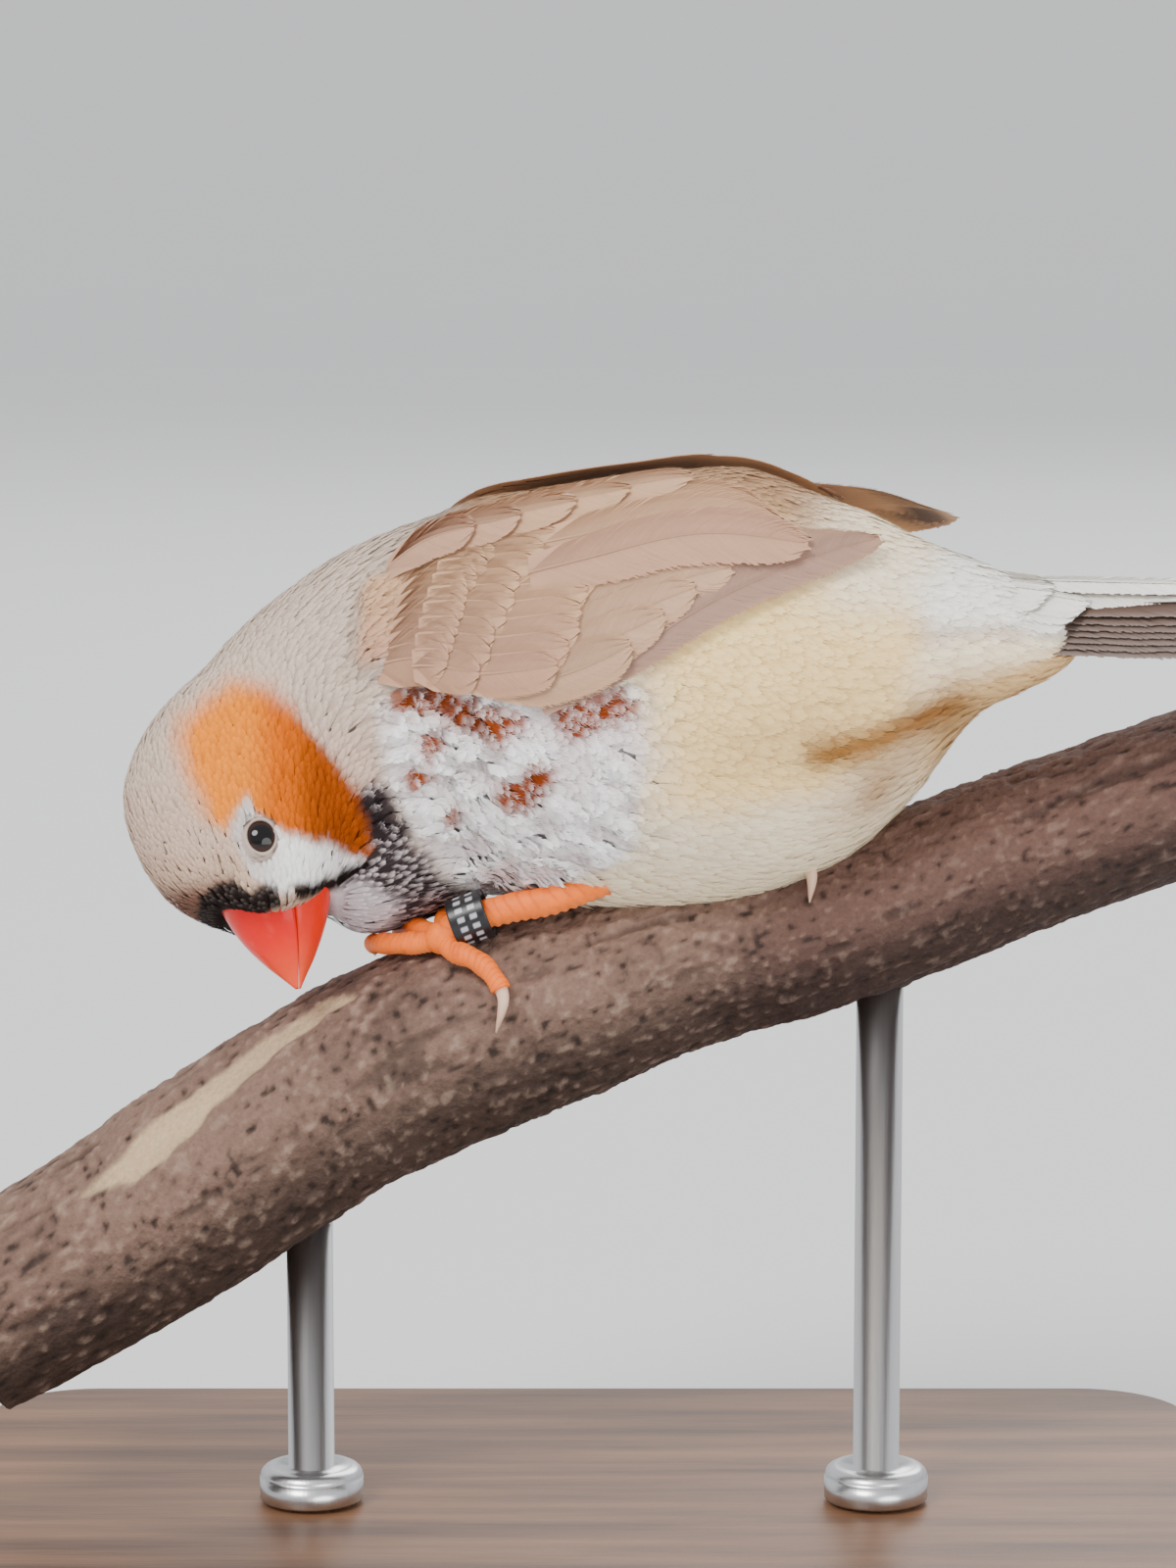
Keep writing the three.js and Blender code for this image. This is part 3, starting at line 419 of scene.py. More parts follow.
def make_object(name, points, faces, tints=None, uvs=None, normals=None):
    """A smooth mesh. tints are the colours of its corners, uvs their places on the bake map, and normals the
    directions that its shading takes at them."""
    groups = [group for group in (faces if isinstance(faces, list) else [faces]) if len(group)]
    loops = np.concatenate([group.ravel() for group in groups]).astype(np.int32)
    sizes = np.concatenate([np.full(len(group), group.shape[1]) for group in groups])
    mesh = bpy.data.meshes.new(name)
    mesh.vertices.add(len(points))
    mesh.vertices.foreach_set("co", np.ravel(points * MM).astype(np.float32))
    mesh.loops.add(len(loops))
    mesh.loops.foreach_set("vertex_index", loops)
    mesh.polygons.add(len(sizes))
    mesh.polygons.foreach_set("loop_start", np.concatenate([[0], np.cumsum(sizes)[:-1]]).astype(np.int32))
    mesh.update(calc_edges=True)
    mesh.shade_smooth()
    if tints is not None:
        set_tints(mesh, np.clip(tints, 0, 1))
    if uvs is not None:
        layer = mesh.uv_layers.new(name="OFBake")
        layer.data.foreach_set("uv", uvs[loops].ravel().astype(np.float32))
    if normals is not None:
        mesh.normals_split_custom_set_from_vertices(normals.astype(np.float32))
    piece = bpy.data.objects.new(name, mesh)
    bpy.context.scene.collection.objects.link(piece)
    return piece


def finish_piece(piece, finish, slot, *nodes):
    """Gives a piece its material, lets it ride on the model, and hides the nodes it replaces. Its slot is not
    used.
    """
    piece.data.materials.clear()
    piece.data.materials.append(finish)
    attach(piece, "root")
    if nodes:
        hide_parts(*nodes)
    return piece


def smooth_line(points, count):
    """Points evenly spaced along a smooth line through the given ones."""
    fine = row_at(np.array(points, float), np.linspace(0, 1, 400))
    along = np.concatenate([[0], np.cumsum(np.linalg.norm(np.diff(fine, axis=0), axis=1))])
    wanted = np.linspace(0, along[-1], count)
    return np.stack([np.interp(wanted, along, fine[:, k]) for k in range(3)], 1)


def line_frame(line, up):
    """The directions across and up at each point of a line, turned as little as possible from a first up."""
    along = unit(np.gradient(line, axis=0))
    ups = []
    for way in along:
        up = up - way * (up @ way)
        up = up / np.linalg.norm(up)
        ups.append(up)
    return np.cross(along, np.array(ups)), np.array(ups)


def tube(line, radius, up, sides):
    """A closed round body along a line. radius is a number for each point, or for each point and side."""
    across, ups = line_frame(line, np.array(up, float))
    turn = np.arange(sides) / sides * 2 * math.pi
    if np.ndim(radius) < 2:
        radius = np.reshape(radius, (-1, 1))
    radius = np.broadcast_to(radius, (len(line), sides))
    ring = ups[:, None] * np.cos(turn)[:, None] + across[:, None] * np.sin(turn)[:, None]
    return closed_rows(line[:, None] + ring * radius[..., None])


# Materials.
def add_node(tree, kind, settings=None, inputs=None):
    """A node with its settings, and its inputs set to values or joined to other sockets."""
    made = tree.nodes.new(kind)
    for key, value in (settings or {}).items():
        setattr(made, key, value)
    for key, value in (inputs or {}).items():
        if isinstance(value, bpy.types.NodeSocket):
            tree.links.new(value, made.inputs[key])
        else:
            made.inputs[key].default_value = value
    return made


def new_material(name, **sockets):
    """A material with one Principled shader, whose sockets are set to values."""
    made = bpy.data.materials.new(name)
    made.use_nodes = True
    shader = made.node_tree.nodes["Principled BSDF"]
    for key, value in sockets.items():
        shader.inputs[key.replace("_", " ").title().replace("Ior", "IOR")].default_value = value
    return made, made.node_tree, shader


def speckle(tree, size, detail=3.0, stretch=(1, 1, 1)):
    """Noise in the object's own space that changes over about this many millimetres."""
    place = add_node(tree, "ShaderNodeTexCoord").outputs["Object"]
    place = add_node(tree, "ShaderNodeMapping", inputs={"Vector": place, "Scale": stretch}).outputs["Vector"]
    made = add_node(
        tree, "ShaderNodeTexNoise", inputs={"Vector": place, "Scale": 1 / (size * MM), "Detail": detail}
    )
    return made.outputs["Fac"]


def level(tree, value, low, high):
    """A value from 0 to 1 turned into one from low to high."""
    made = add_node(tree, "ShaderNodeMapRange", inputs={"Value": value, "To Min": low, "To Max": high})
    return made.outputs["Result"]


def shade_by(tree, tint, value):
    """A colour made darker or lighter by a value."""
    made = add_node(tree, "ShaderNodeVectorMath", {"operation": "SCALE"}, {0: tint, "Scale": value})
    return made.outputs["Vector"]


def bump(tree, shader, height, distance):
    """Gives a shader a fine relief of this depth in millimetres."""
    inputs = {"Height": height, "Distance": distance * MM, "Strength": 1.0}
    made = add_node(tree, "ShaderNodeBump", inputs=inputs)
    tree.links.new(made.outputs["Normal"], shader.inputs["Normal"])


def add_tint(tree, tint):
    """One plain colour."""
    made = add_node(tree, "ShaderNodeRGB")
    made.outputs[0].default_value = (*tint, 1)
    return made.outputs[0]


def tinted(name, grain, depth, relief, **sockets):
    """A material that takes the colours of a mesh, made uneven by a fine grain with a relief."""
    made, tree, shader = new_material(name, **sockets)
    tint = add_node(tree, "ShaderNodeAttribute", {"attribute_name": "tint"}).outputs["Color"]
    fine = speckle(tree, grain)
    tree.links.new(shade_by(tree, tint, level(tree, fine, 1 - depth, 1 + depth)), shader.inputs["Base Color"])
    bump(tree, shader, fine, relief)
    return made


PLUMAGE = tinted("plumage", 0.35, 0.05, 0.01, roughness=0.85, specular_ior_level=0.06, sheen_weight=0.02,
                 sheen_roughness=0.5)
VANES = tinted("vanes", 0.3, 0.06, 0.01, roughness=0.7, specular_ior_level=0.2, sheen_weight=0.06,
               sheen_roughness=0.45)
SKIN = tinted("skin", 0.5, 0.2, 0.05, roughness=0.85, specular_ior_level=0.2)
LID = tinted("lid_skin", 0.12, 0.14, 0.04, roughness=0.55, specular_ior_level=0.4)
HORN = tinted("horn", 0.45, 0.05, 0.01, roughness=0.3, specular_ior_level=0.18, coat_weight=0.15,
              coat_roughness=0.05)
LEG_SKIN = tinted("leg_skin", 0.3, 0.1, 0.03, roughness=0.5, specular_ior_level=0.2)
CLAW = tinted("claw", 0.3, 0.08, 0.015, roughness=0.35, specular_ior_level=0.45)
BARK = tinted("bark", 0.4, 0.3, 0.2, roughness=0.8, specular_ior_level=0.3)
WET_EYE = tinted("wet_eye", 0.2, 0.1, 0.0, roughness=0.05, specular_ior_level=0.2, coat_weight=0.3,
                 coat_roughness=0.02)
RING = tinted("ring_enamel", 0.15, 0.1, 0.01, roughness=0.32, specular_ior_level=0.5)


# Camera, light and floor.
def look_from(place, target):
    return (Vector(target) - Vector(place)).to_track_quat("-Z", "Y")


CAMERA_TARGET = Vector((0, 0, 71)) * MM
CAMERA_DISTANCE = 420 * MM
CAMERA_ELEVATION = math.radians(8)
CAMERA_LENS = 113.4


def make_camera():
    data = bpy.data.cameras.new("camera")
    data.sensor_width = 36
    data.lens = CAMERA_LENS
    data.clip_start = 0.01
    camera = bpy.data.objects.new("camera", data)
    way = Vector((0, -math.cos(CAMERA_ELEVATION), math.sin(CAMERA_ELEVATION)))
    camera.location = CAMERA_TARGET + way * CAMERA_DISTANCE
    camera.rotation_mode = "QUATERNION"
    camera.rotation_quaternion = look_from(camera.location, CAMERA_TARGET)
    bpy.context.scene.collection.objects.link(camera)
    bpy.context.scene.camera = camera


def make_light(name, place, size, power, tint=(1, 1, 1)):
    data = bpy.data.lights.new(name, "AREA")
    data.shape = "DISK"
    data.size = size
    data.energy = power
    data.color = tint
    lamp = bpy.data.objects.new(name, data)
    lamp.location = place
    lamp.rotation_mode = "QUATERNION"
    lamp.rotation_quaternion = look_from(place, CAMERA_TARGET)
    bpy.context.scene.collection.objects.link(lamp)


def make_lights():
    make_light("key", (-0.5, -0.7, 0.9), 0.5, 11.0, (1.0, 0.98, 0.95))
    make_light("fill", (0.5, -1.0, 0.12), 0.9, 9.0, (1.0, 0.99, 0.98))
    make_light("back", (0.3, 0.9, 0.8), 0.8, 6.0)
    world = bpy.data.worlds.new("studio")
    world.use_nodes = True
    sky = world.node_tree.nodes["Background"]
    sky.inputs["Color"].default_value = (0.97, 0.98, 1.0, 1)
    sky.inputs["Strength"].default_value = 1.0
    bpy.context.scene.world = world


FLOOR_GREY = (0.74, 0.745, 0.75)


def make_floor():
    """A pale floor that turns up at its far rim on every side."""
    reach, rim = 2600, 900
    profile = [(0, 0), (reach * 0.6, 0), (reach * 0.8, 0)]
    bend = np.linspace(0.15, 1.35, 10)
    profile += [(reach * 0.8 + rim * math.sin(a), rim * (1 - math.cos(a))) for a in bend]
    turn = np.arange(96) / 96 * 2 * math.pi
    points = np.array([[(r * math.cos(a), r * math.sin(a), z) for a in turn] for r, z in profile])
    floor = make_object("floor", points.reshape(-1, 3), grid_faces(len(profile), len(turn), True))
    made, tree, shader = new_material("floor", roughness=0.8, specular_ior_level=0.2)
    fine = speckle(tree, 60.0)
    tint = shade_by(tree, add_tint(tree, FLOOR_GREY), level(tree, fine, 0.985, 1.015))
    tree.links.new(tint, shader.inputs["Base Color"])
    floor.data.materials.append(made)


# Markings. Outlines are (back, up) in the head, and (x, z) or (t, degrees) on the body.
CROWN = colour(203, 176, 158)
CROWN_LOW = colour(200, 170, 148)
FOREHEAD = colour(112, 72, 58)
CHEEK_PALE = colour(234, 134, 28)
CHEEK_MID = colour(206, 98, 4)
# Painted shade for the cheek's lower part.
CHEEK_DEEP_SHADE = colour(152, 68, 10)
FACE_WHITE = colour(253, 252, 250)
FACE_GREY = colour(182, 166, 158)
FACE_BLACK = colour(30, 22, 20)
NAPE = colour(203, 184, 168)
THROAT_DARK = colour(58, 48, 50)
THROAT_WHITE = colour(222, 210, 210)
CHIN = colour(222, 212, 216)
MANTLE = colour(178, 140, 106)
BACK = colour(180, 142, 108)
WING_UPPER = colour(206, 165, 130)
WING_LOWER = colour(196, 153, 126)
WING_EDGE = colour(222, 178, 136)
FLANK_WHITE = colour(255, 253, 252)
FLANK_SHADE = colour(224, 206, 208)
CHESTNUT = colour(146, 64, 24)
BELLY_FRONT = colour(255, 246, 238)
BELLY = colour(255, 238, 206)
CREAM = colour(255, 222, 158)
# Painted shade for the lower rear side and the underside by the vent.
OCHRE_SHADE = colour(136, 82, 26)
VENT_SHADE = colour(172, 122, 70)
RUMP = colour(252, 236, 208)
RUMP_WHITE = colour(252, 248, 240)
UNDERTAIL = colour(228, 190, 136)

# The drawing that the outlines are taken from: a view from the left, tilted down, from this distance. Then
# its middle height, how far the height that it shows stands over the true one, and the bill's base in it.
DRAWN_TILT = math.radians(8)
DRAWN_DISTANCE = 420.0
DRAWN_HEIGHT = 71.0
DRAWN_RISE = 0.75
DRAWN_BILL_BASE = (-26.4, 61.9)
CHEEK_OUTLINE = [
    (19.1, -0.9), (17.1, 4.0), (14.9, 5.0), (11.4, 4.7), (8.0, 4.0), (6.6, 2.9), (8.0, 1.6),
    (9.2, 0.3), (7.5, -0.2), (6.2, -1.3), (5.1, -2.7), (3.8, -4.8), (2.3, -6.3), (1.2, -8.2),
    (2.5, -9.0), (5.3, -9.3), (7.0, -8.9), (9.9, -7.7), (12.8, -6.5), (15.4, -5.4), (17.6, -3.8),
]
WHITE_OUTLINE = [
    (5.4, -1.6), (3.9, -4.2), (3.0, -5.9), (1.2, -8.1), (0.7, -7.2), (0.5, -5.1), (0.5, -3.3), (0.9, -1.7),
    (0.2, -1.3), (0.6, 0.2), (2.5, 1.5), (3.8, 2.0), (6.2, 2.4), (8.0, 1.7), (9.1, 0.4), (7.2, -0.2),
]
LORE_OUTLINE = [
    (1.6, 6.6), (2.6, 5.0), (2.7, 3.4), (2.0, 2.9), (0.9, 2.2), (1.5, 1.1), (1.1, -0.3), (-0.6, -0.3),
    (-1.5, 2.5), (-2.5, 5.0), (-2.0, 7.5),
]
MALAR_OUTLINE = [
    (0.8, -1.6), (0.6, -3.3), (0.8, -5.5), (1.3, -8.0), (0.9, -8.6), (-0.2, -6.0), (-0.7, -3.8), (-0.5, -1.8),
]
# Painted shadow along the cheek's lower edge.
CHEEK_EDGE_SHADOW_OUTLINE = [(7.4, -9.3), (5.6, -10.2), (3.4, -10.4), (2.6, -9.2), (4.7, -8.9), (6.4, -8.6)]
CHIN_OUTLINE = [(0.2, -4.6), (-0.4, -7.4), (-2.4, -9.8), (-6.6, -9.2), (-6.0, -3.0)]
BARRED_OUTLINE = [
    (-22.5, 61.5), (-20.3, 66.5), (-18.9, 71.5), (-17.2, 71.6), (-15.0, 67.2), (-12.4, 64.4), (-9.6, 62.4),
    (-8.0, 59.5), (-11.0, 55.0), (-24.0, 55.0),
]
# The white flank's front part, and its chestnut spots: x, z and size in millimetres.
FLANK_OUTLINE = [
    (-17.9, 78.6), (-17.2, 72.0), (-14.9, 67.7), (-12.4, 65.0), (-9.4, 63.2), (-4.0, 62.0),
    (4.0, 66.0), (6.0, 80.0), (-8.0, 80.0), (-13.0, 81.5),
]
CHESTNUT_SPOTS = [
    (-15.4, 79.0, 1.9), (-12.5, 79.2, 2.2), (-10.4, 77.6, 1.9), (-7.9, 76.9, 2.0), (-0.8, 77.7, 2.3),
    (2.1, 78.2, 2.0), (-13.3, 75.0, 1.3), (-14.3, 72.4, 1.1), (-5.7, 70.9, 1.9), (-4.3, 72.2, 1.5),
    (-11.5, 69.1, 1.1), (-6.7, 76.9, 1.1),
]
# Where the middle of the neck and body lies: x and the y there.
MIDDLE_X = [-37, -28, -17, -10, 40]
MIDDLE_Y = [0.5, 2.2, 4.2, 4.5, -8.0]
# The brown streak before the vent, painted shade on the lower rear side, and its half width.
VENT_STREAK = [(19.5, 73.8), (25.0, 75.4), (31.0, 78.4)]
VENT_WIDTH = 1.5
# The deeper cream patch over that streak, also painted shade: its middle, its half length and half height,
# and its slope.
PATCH_X, PATCH_Z = 18, 76
PATCH_LONG, PATCH_HIGH = 9, 4
PATCH_SLOPE = 0.2
# The brown under the vent, painted shade on the underside: its middle and its half sizes in t and degrees.
VENT_T, VENT_T_HALF = 0.69, 0.05
VENT_DEGREES, VENT_DEGREES_HALF = 128, 16


def drawn_place(points):
    """Across and up of points in the drawing that the outlines of the markings are taken from."""
    high = points[:, 2] - DRAWN_HEIGHT
    cos, sin = math.cos(DRAWN_TILT), math.sin(DRAWN_TILT)
    nearness = DRAWN_DISTANCE / (DRAWN_DISTANCE + points[:, 1] * cos - high * sin)
    return points[:, 0] * nearness, (high * cos + points[:, 1] * sin) * nearness + DRAWN_HEIGHT + DRAWN_RISE


def drawn_head(points):
    """Back and up of points of the head in that drawing. Both sides carry the left side's markings."""
    back, up, side = head_place(points)
    x, z = drawn_place(head_at(back, up, np.abs(side)))
    x, z = x - DRAWN_BILL_BASE[0], z - DRAWN_BILL_BASE[1]
    return -(x * BILL_LINE[0] + z * BILL_LINE[2]), x * CROWN_LINE[0] + z * CROWN_LINE[2]


def drawn_body(points):
    """Across and up of points of the neck and breast in that drawing, the right side mirrored to the left."""
    middle = np.interp(points[:, 0], MIDDLE_X, MIDDLE_Y)
    mirrored = points.copy()
    mirrored[:, 1] = middle - np.abs(points[:, 1] - middle)
    return drawn_place(mirrored)


def shoulder_share(t, degrees):
    """1 on the small coverts of the folded wing's front."""
    return ramp(t, 0.0, 0.1) * ramp(-t, -0.3, -0.24) * ramp(degrees, 28, 40) * ramp(-degrees, -72, -62)


def flank_share(points, t, degrees):
    """1 on the loose white feathers of the flank."""
    share = ramp(degrees, 60, 68) * ramp(-degrees, -136, -112)
    share = share * ramp(-t, -0.53, -0.3) * ramp(points[:, 0], -14, -8)
    return np.maximum(share, inside(*drawn_body(points), FLANK_OUTLINE, 0.8))


def flank_ridges(points):
    """1 along the crests of the flank's curly clumps, and 0 between them."""
    bent = points + 0.8 * noise(points, 2.6, 72)[:, None]
    return np.clip(1 - 2.6 * np.abs(noise(bent, (2.9, 2.4, 2.1), 71)), 0, 1)


def head_colours(points, inner, edge):
    """Puts the head's markings over the body's colours: inside a feather, and at its rim."""
    back, up = drawn_head(points)
    wobble = 0.22 * layered_noise(points, 1.2, 3)
    u, v = back + wobble, up + 0.22 * layered_noise(points, 1.1, 9)
    x, z = drawn_body(points)
    t, turn = body_place(points)
    on_head = ramp(-points[:, 0], 8, 17) * (1 - inside(x, z, FLANK_OUTLINE, 0.8))
    on_head = on_head * (1 - shoulder_share(t, np.degrees(np.abs(turn))))
    base = mix(NAPE, CROWN, ramp(-back, -17, -9))
    base = mix(base, CROWN_LOW, ramp(-u, -8, -3.5))
    base = mix(base, FOREHEAD, 0.85 * ramp(-u, -4.2, -1.6) * ramp(v, 2.5, 4.5))
    inner, edge = mix(inner, base, on_head), mix(edge, base * 1.06, on_head)

    def put(share, tint, rim=None):
        nonlocal inner, edge
        inner, edge = mix(inner, tint, share), mix(edge, tint if rim is None else rim, share)

    barred = inside(x + 0.5 * noise(points, 1.5, 5), z + 0.5 * noise(points, 1.5, 6), BARRED_OUTLINE, 0.6)
    put(barred, THROAT_DARK, THROAT_WHITE)
    put(0.85 * inside(back, up, CHIN_OUTLINE, 0.6), CHIN, CHIN * 1.05)
    # The cheek's own orange, deepened by painted shade towards its lower edge.
    depth = ramp(-v - 0.25 * u, -4.5, 5.5)
    cheek = mix(mix(CHEEK_PALE, CHEEK_MID, ramp(depth, 0, 0.5)), CHEEK_DEEP_SHADE, ramp(depth, 0.5, 1))
    softness = mix(0.3, 1.7, ramp(u + 0.9 * v, 6, 15))
    put(inside(u, v, CHEEK_OUTLINE, softness), cheek, cheek * 1.08)
    near_bill = ramp(-u, -4.0, -0.8)
    greyness = ramp(v, -2.6, 1.6) * mix(0.75, 0.35, near_bill)
    put(inside(u, v, WHITE_OUTLINE, 0.28), mix(FACE_WHITE, FACE_GREY, greyness))
    # Painted shadow under the cheek's bulging lower edge, in the throat's dark made darker.
    put(inside(u, v, CHEEK_EDGE_SHADOW_OUTLINE, 0.35), THROAT_DARK * 0.6)
    put(inside(u, v, LORE_OUTLINE, 0.3), FACE_BLACK, mix(FACE_BLACK, FACE_GREY, 0.12))
    put(inside(u, v, MALAR_OUTLINE, 0.22), FACE_BLACK)
    return inner, edge


def plumage(points):
    """The coat's colours at these points: inside a feather, and at its rim."""
    t, turn = body_place(points)
    degrees = np.degrees(np.abs(turn)) + 4 * layered_noise(points, 4, 21)
    t = t + 0.012 * layered_noise(points, 3.5, 22)
    x, z = drawn_body(points)
    inner = mix(MANTLE, BACK, ramp(t, 0.1, 0.3))
    inner = mix(inner, NAPE, ramp(-x, 9, 15))
    shoulder = shoulder_share(t, degrees)
    inner = mix(inner, mix(WING_UPPER, WING_LOWER, ramp(degrees, 45, 65)), shoulder)
    belly = mix(BELLY_FRONT, BELLY, ramp(t, 0.2, 0.42))
    inner = mix(inner, belly, ramp(degrees, 64, 76))
    fluffy = flank_share(points, t, degrees)
    # Painted shade: the white flank turns greyer in the hollows between its clumps.
    hollow_shade = ramp(-flank_ridges(points), -0.75, -0.1)
    inner = mix(inner, mix(FLANK_WHITE, FLANK_SHADE, 0.6 * hollow_shade), fluffy)
    cream = ramp(t, 0.43, 0.5) * ramp(-t, -0.78, -0.7) * ramp(-degrees, -122, -106)
    inner = mix(inner, CREAM, cream * ramp(degrees, 12, 40))
    inner = mix(inner, RUMP, ramp(t, 0.56, 0.64) * ramp(-degrees, -66, -34))
    inner = mix(inner, RUMP_WHITE, ramp(t, 0.7, 0.78) * ramp(-degrees, -80, -50))
    inner = mix(inner, UNDERTAIL, ramp(t, 0.7, 0.8) * ramp(degrees, 80, 120))
    # Painted shade on the lower rear side: a brown streak with a deeper cream patch round it, then brown
    # under the vent.
    bend = np.interp(x, *np.array(VENT_STREAK).T)
    past = np.maximum(0, np.maximum(VENT_STREAK[0][0] - x, x - VENT_STREAK[-1][0]))
    ochre_shade = np.exp(-((np.hypot(z - bend, past) / (VENT_WIDTH * (1 + 0.4 * noise(points, 2.5, 24)))) ** 2))
    patch = np.hypot((x - PATCH_X) / PATCH_LONG, (z - PATCH_Z - PATCH_SLOPE * (x - PATCH_X)) / PATCH_HIGH)
    inner = mix(inner, mix(CREAM, OCHRE_SHADE, 0.3), 0.8 * np.exp(-(patch**2)))
    inner = mix(inner, OCHRE_SHADE, 0.9 * ochre_shade)
    vent_shade = np.exp(-(((t - VENT_T) / VENT_T_HALF) ** 2) - ((degrees - VENT_DEGREES) / VENT_DEGREES_HALF) ** 2)
    inner = mix(inner, VENT_SHADE, 0.75 * vent_shade)
    edge = inner * 1.02
    spots = np.zeros(len(points))
    for spot_x, spot_z, size in CHESTNUT_SPOTS:
        far = np.hypot((x - spot_x) / 1.2, z - spot_z) + 0.5 * noise(points, 1.1, 25)
        spots = np.maximum(spots, ramp(-far, -1.2 * size, -0.5 * size))
    inner = mix(inner, CHESTNUT, spots)
    edge = mix(edge, mix(CHESTNUT, FLANK_WHITE, 0.35), 0.8 * spots)
    inner, edge = head_colours(points, inner, edge)
    uneven = (1 + 0.03 * layered_noise(points, 2.2, 23))[:, None]
    return inner * uneven, edge * uneven


# Skin: the head, the neck and the body in one, inside the coat by its depth.
def skin_parts():
    turn = np.arange(64) / 64 * 2 * math.pi
    forms = ((body_point, BODY_DEPTH, 70), (neck_point, NECK_DEPTH, 40), (head_point, HEAD_DEPTH, 40))
    for place, depth, steps in forms:
        t, angle = np.meshgrid(np.linspace(0, 1, steps), turn, indexing="ij")
        yield closed_rows(place(t, angle, -depth))


def make_skin():
    points, faces = joined(list(skin_parts()))
    rough = make_object("skin", points, faces)
    remesh = rough.modifiers.new("remesh", "REMESH")
    remesh.mode = "VOXEL"
    remesh.voxel_size = 0.6 * MM
    smooth = rough.modifiers.new("smooth", "SMOOTH")
    smooth.factor = 0.5
    smooth.iterations = 12
    bpy.context.view_layer.update()
    mesh = bpy.data.meshes.new_from_object(rough.evaluated_get(bpy.context.evaluated_depsgraph_get()))
    rough.modifiers.clear()
    rough.data = mesh
    mesh.shade_smooth()
    return rough


def lie_guides():
    """Points on the three forms, with the way that the coat lies there."""
    places, ways = [], []
    turn = np.arange(40) / 40 * 2 * math.pi
    step = 0.01
    for place, low, high in ((body_point, 0.02, 1.0), (neck_point, 0.1, 0.9), (head_point, 0.02, 0.9)):
        t, angle = np.meshgrid(np.linspace(low, high, 50), turn, indexing="ij")
        t, angle = t.ravel(), angle.ravel()
        along = unit(place(t + step, angle) - place(t - step, angle))
        if place is body_point:
            down = unit(place(t, angle + step * np.sign(np.sin(angle))) - place(t, angle))
            along = unit(along + 0.3 * down * (np.abs(np.sin(angle)) ** 2)[:, None])
        places.append(place(t, angle))
        ways.append(along)
    return np.concatenate(places), np.concatenate(ways)


class Surface:
    """The skin as a smooth surface that gives its nearest place, its normal and the lie of the coat."""

    def __init__(self, piece):
        mesh = piece.data
        self.points = np.empty(len(mesh.vertices) * 3)
        mesh.vertices.foreach_get("co", self.points)
        self.points = self.points.reshape(-1, 3) / MM
        normals = np.empty(len(mesh.vertices) * 3)
        mesh.vertices.foreach_get("normal", normals)
        self.normals = normals.reshape(-1, 3)
        mesh.calc_loop_triangles()
        self.triangles = np.empty(len(mesh.loop_triangles) * 3, int)
        mesh.loop_triangles.foreach_get("vertices", self.triangles)
        self.triangles = self.triangles.reshape(-1, 3)
        self.tree = BVHTree.FromPolygons(self.points.tolist(), self.triangles.tolist())
        edges = np.empty(len(mesh.edges) * 2, int)
        mesh.edges.foreach_get("vertices", edges)
        self.lie = self.smooth_lie(edges.reshape(-1, 2))

    def smooth_lie(self, edges):
        """The nearest guide's way at each point, evened out along the surface."""
        places, ways = lie_guides()
        guides = KDTree(len(places))
        for i, place in enumerate(places):
            guides.insert(place, i)
        guides.balance()
        lie = np.array([ways[guides.find(point)[1]] for point in self.points])
        for _ in range(24):
            total = lie.copy()
            np.add.at(total, edges[:, 0], lie[edges[:, 1]])
            np.add.at(total, edges[:, 1], lie[edges[:, 0]])
            total -= self.normals * np.sum(total * self.normals, axis=1, keepdims=True)
            lie = unit(total)
        return lie

    def nearest(self, points):
        found = [self.tree.find_nearest(point) for point in points.tolist()]
        places = np.array([hit[0] for hit in found])
        corners = self.triangles[[hit[2] for hit in found]]
        a, b, c = (self.points[corners[:, k]] for k in range(3))
        whole = np.linalg.norm(np.cross(b - a, c - a), axis=1)[:, None]
        share_a = np.linalg.norm(np.cross(b - places, c - places), axis=1)[:, None] / whole
        share_b = np.linalg.norm(np.cross(c - places, a - places), axis=1)[:, None] / whole
        share_c = np.clip(1 - share_a - share_b, 0, 1)

        def blend(values):
            at_a, at_b, at_c = (values[corners[:, k]] for k in range(3))
            return at_a * share_a + at_b * share_b + at_c * share_c

        normals = unit(blend(self.normals))
        lie = blend(self.lie)
        return places, normals, unit(lie - normals * np.sum(lie * normals, axis=1, keepdims=True))

    def scattered(self, random, density):
        """Random points on the surface, this many for each square millimetre."""
        a, b, c = (self.points[self.triangles[:, k]] for k in range(3))
        areas = np.linalg.norm(np.cross(b - a, c - a), axis=1) / 2
        chosen = random.choice(len(areas), int(areas.sum() * density), p=areas / areas.sum())
        u, v = random.random((2, len(chosen), 1))
        flip = u + v > 1
        u, v = np.where(flip, 1 - u, u), np.where(flip, 1 - v, v)
        return a[chosen] + (b - a)[chosen] * u + (c - a)[chosen] * v


def thinned(points, spacing):
    """Which of these points to keep so that none has another within its spacing."""
    tree = KDTree(len(points))
    for i, point in enumerate(points):
        tree.insert(point, i)
    tree.balance()
    waiting = np.ones(len(points), bool)
    kept = []
    for i in range(len(points)):
        if waiting[i]:
            kept.append(i)
            for _, j, _ in tree.find_range(points[i], spacing[i]):
                waiting[j] = False
    return np.array(kept)


# Coat: tufts that follow the skin. Each is a thin leaf with barbs over it and past its rim.
# Random roots for each square millimetre, which are then thinned to each place's spacing.
ROOT_DENSITY = 26.0
# Room left bare by the eye (half sizes back and up) and over the bill (back, up and aside).
EYE_ROOM = (1.75, 1.5)
BILL_ROOM = (0.3, 4.9, 4.3)
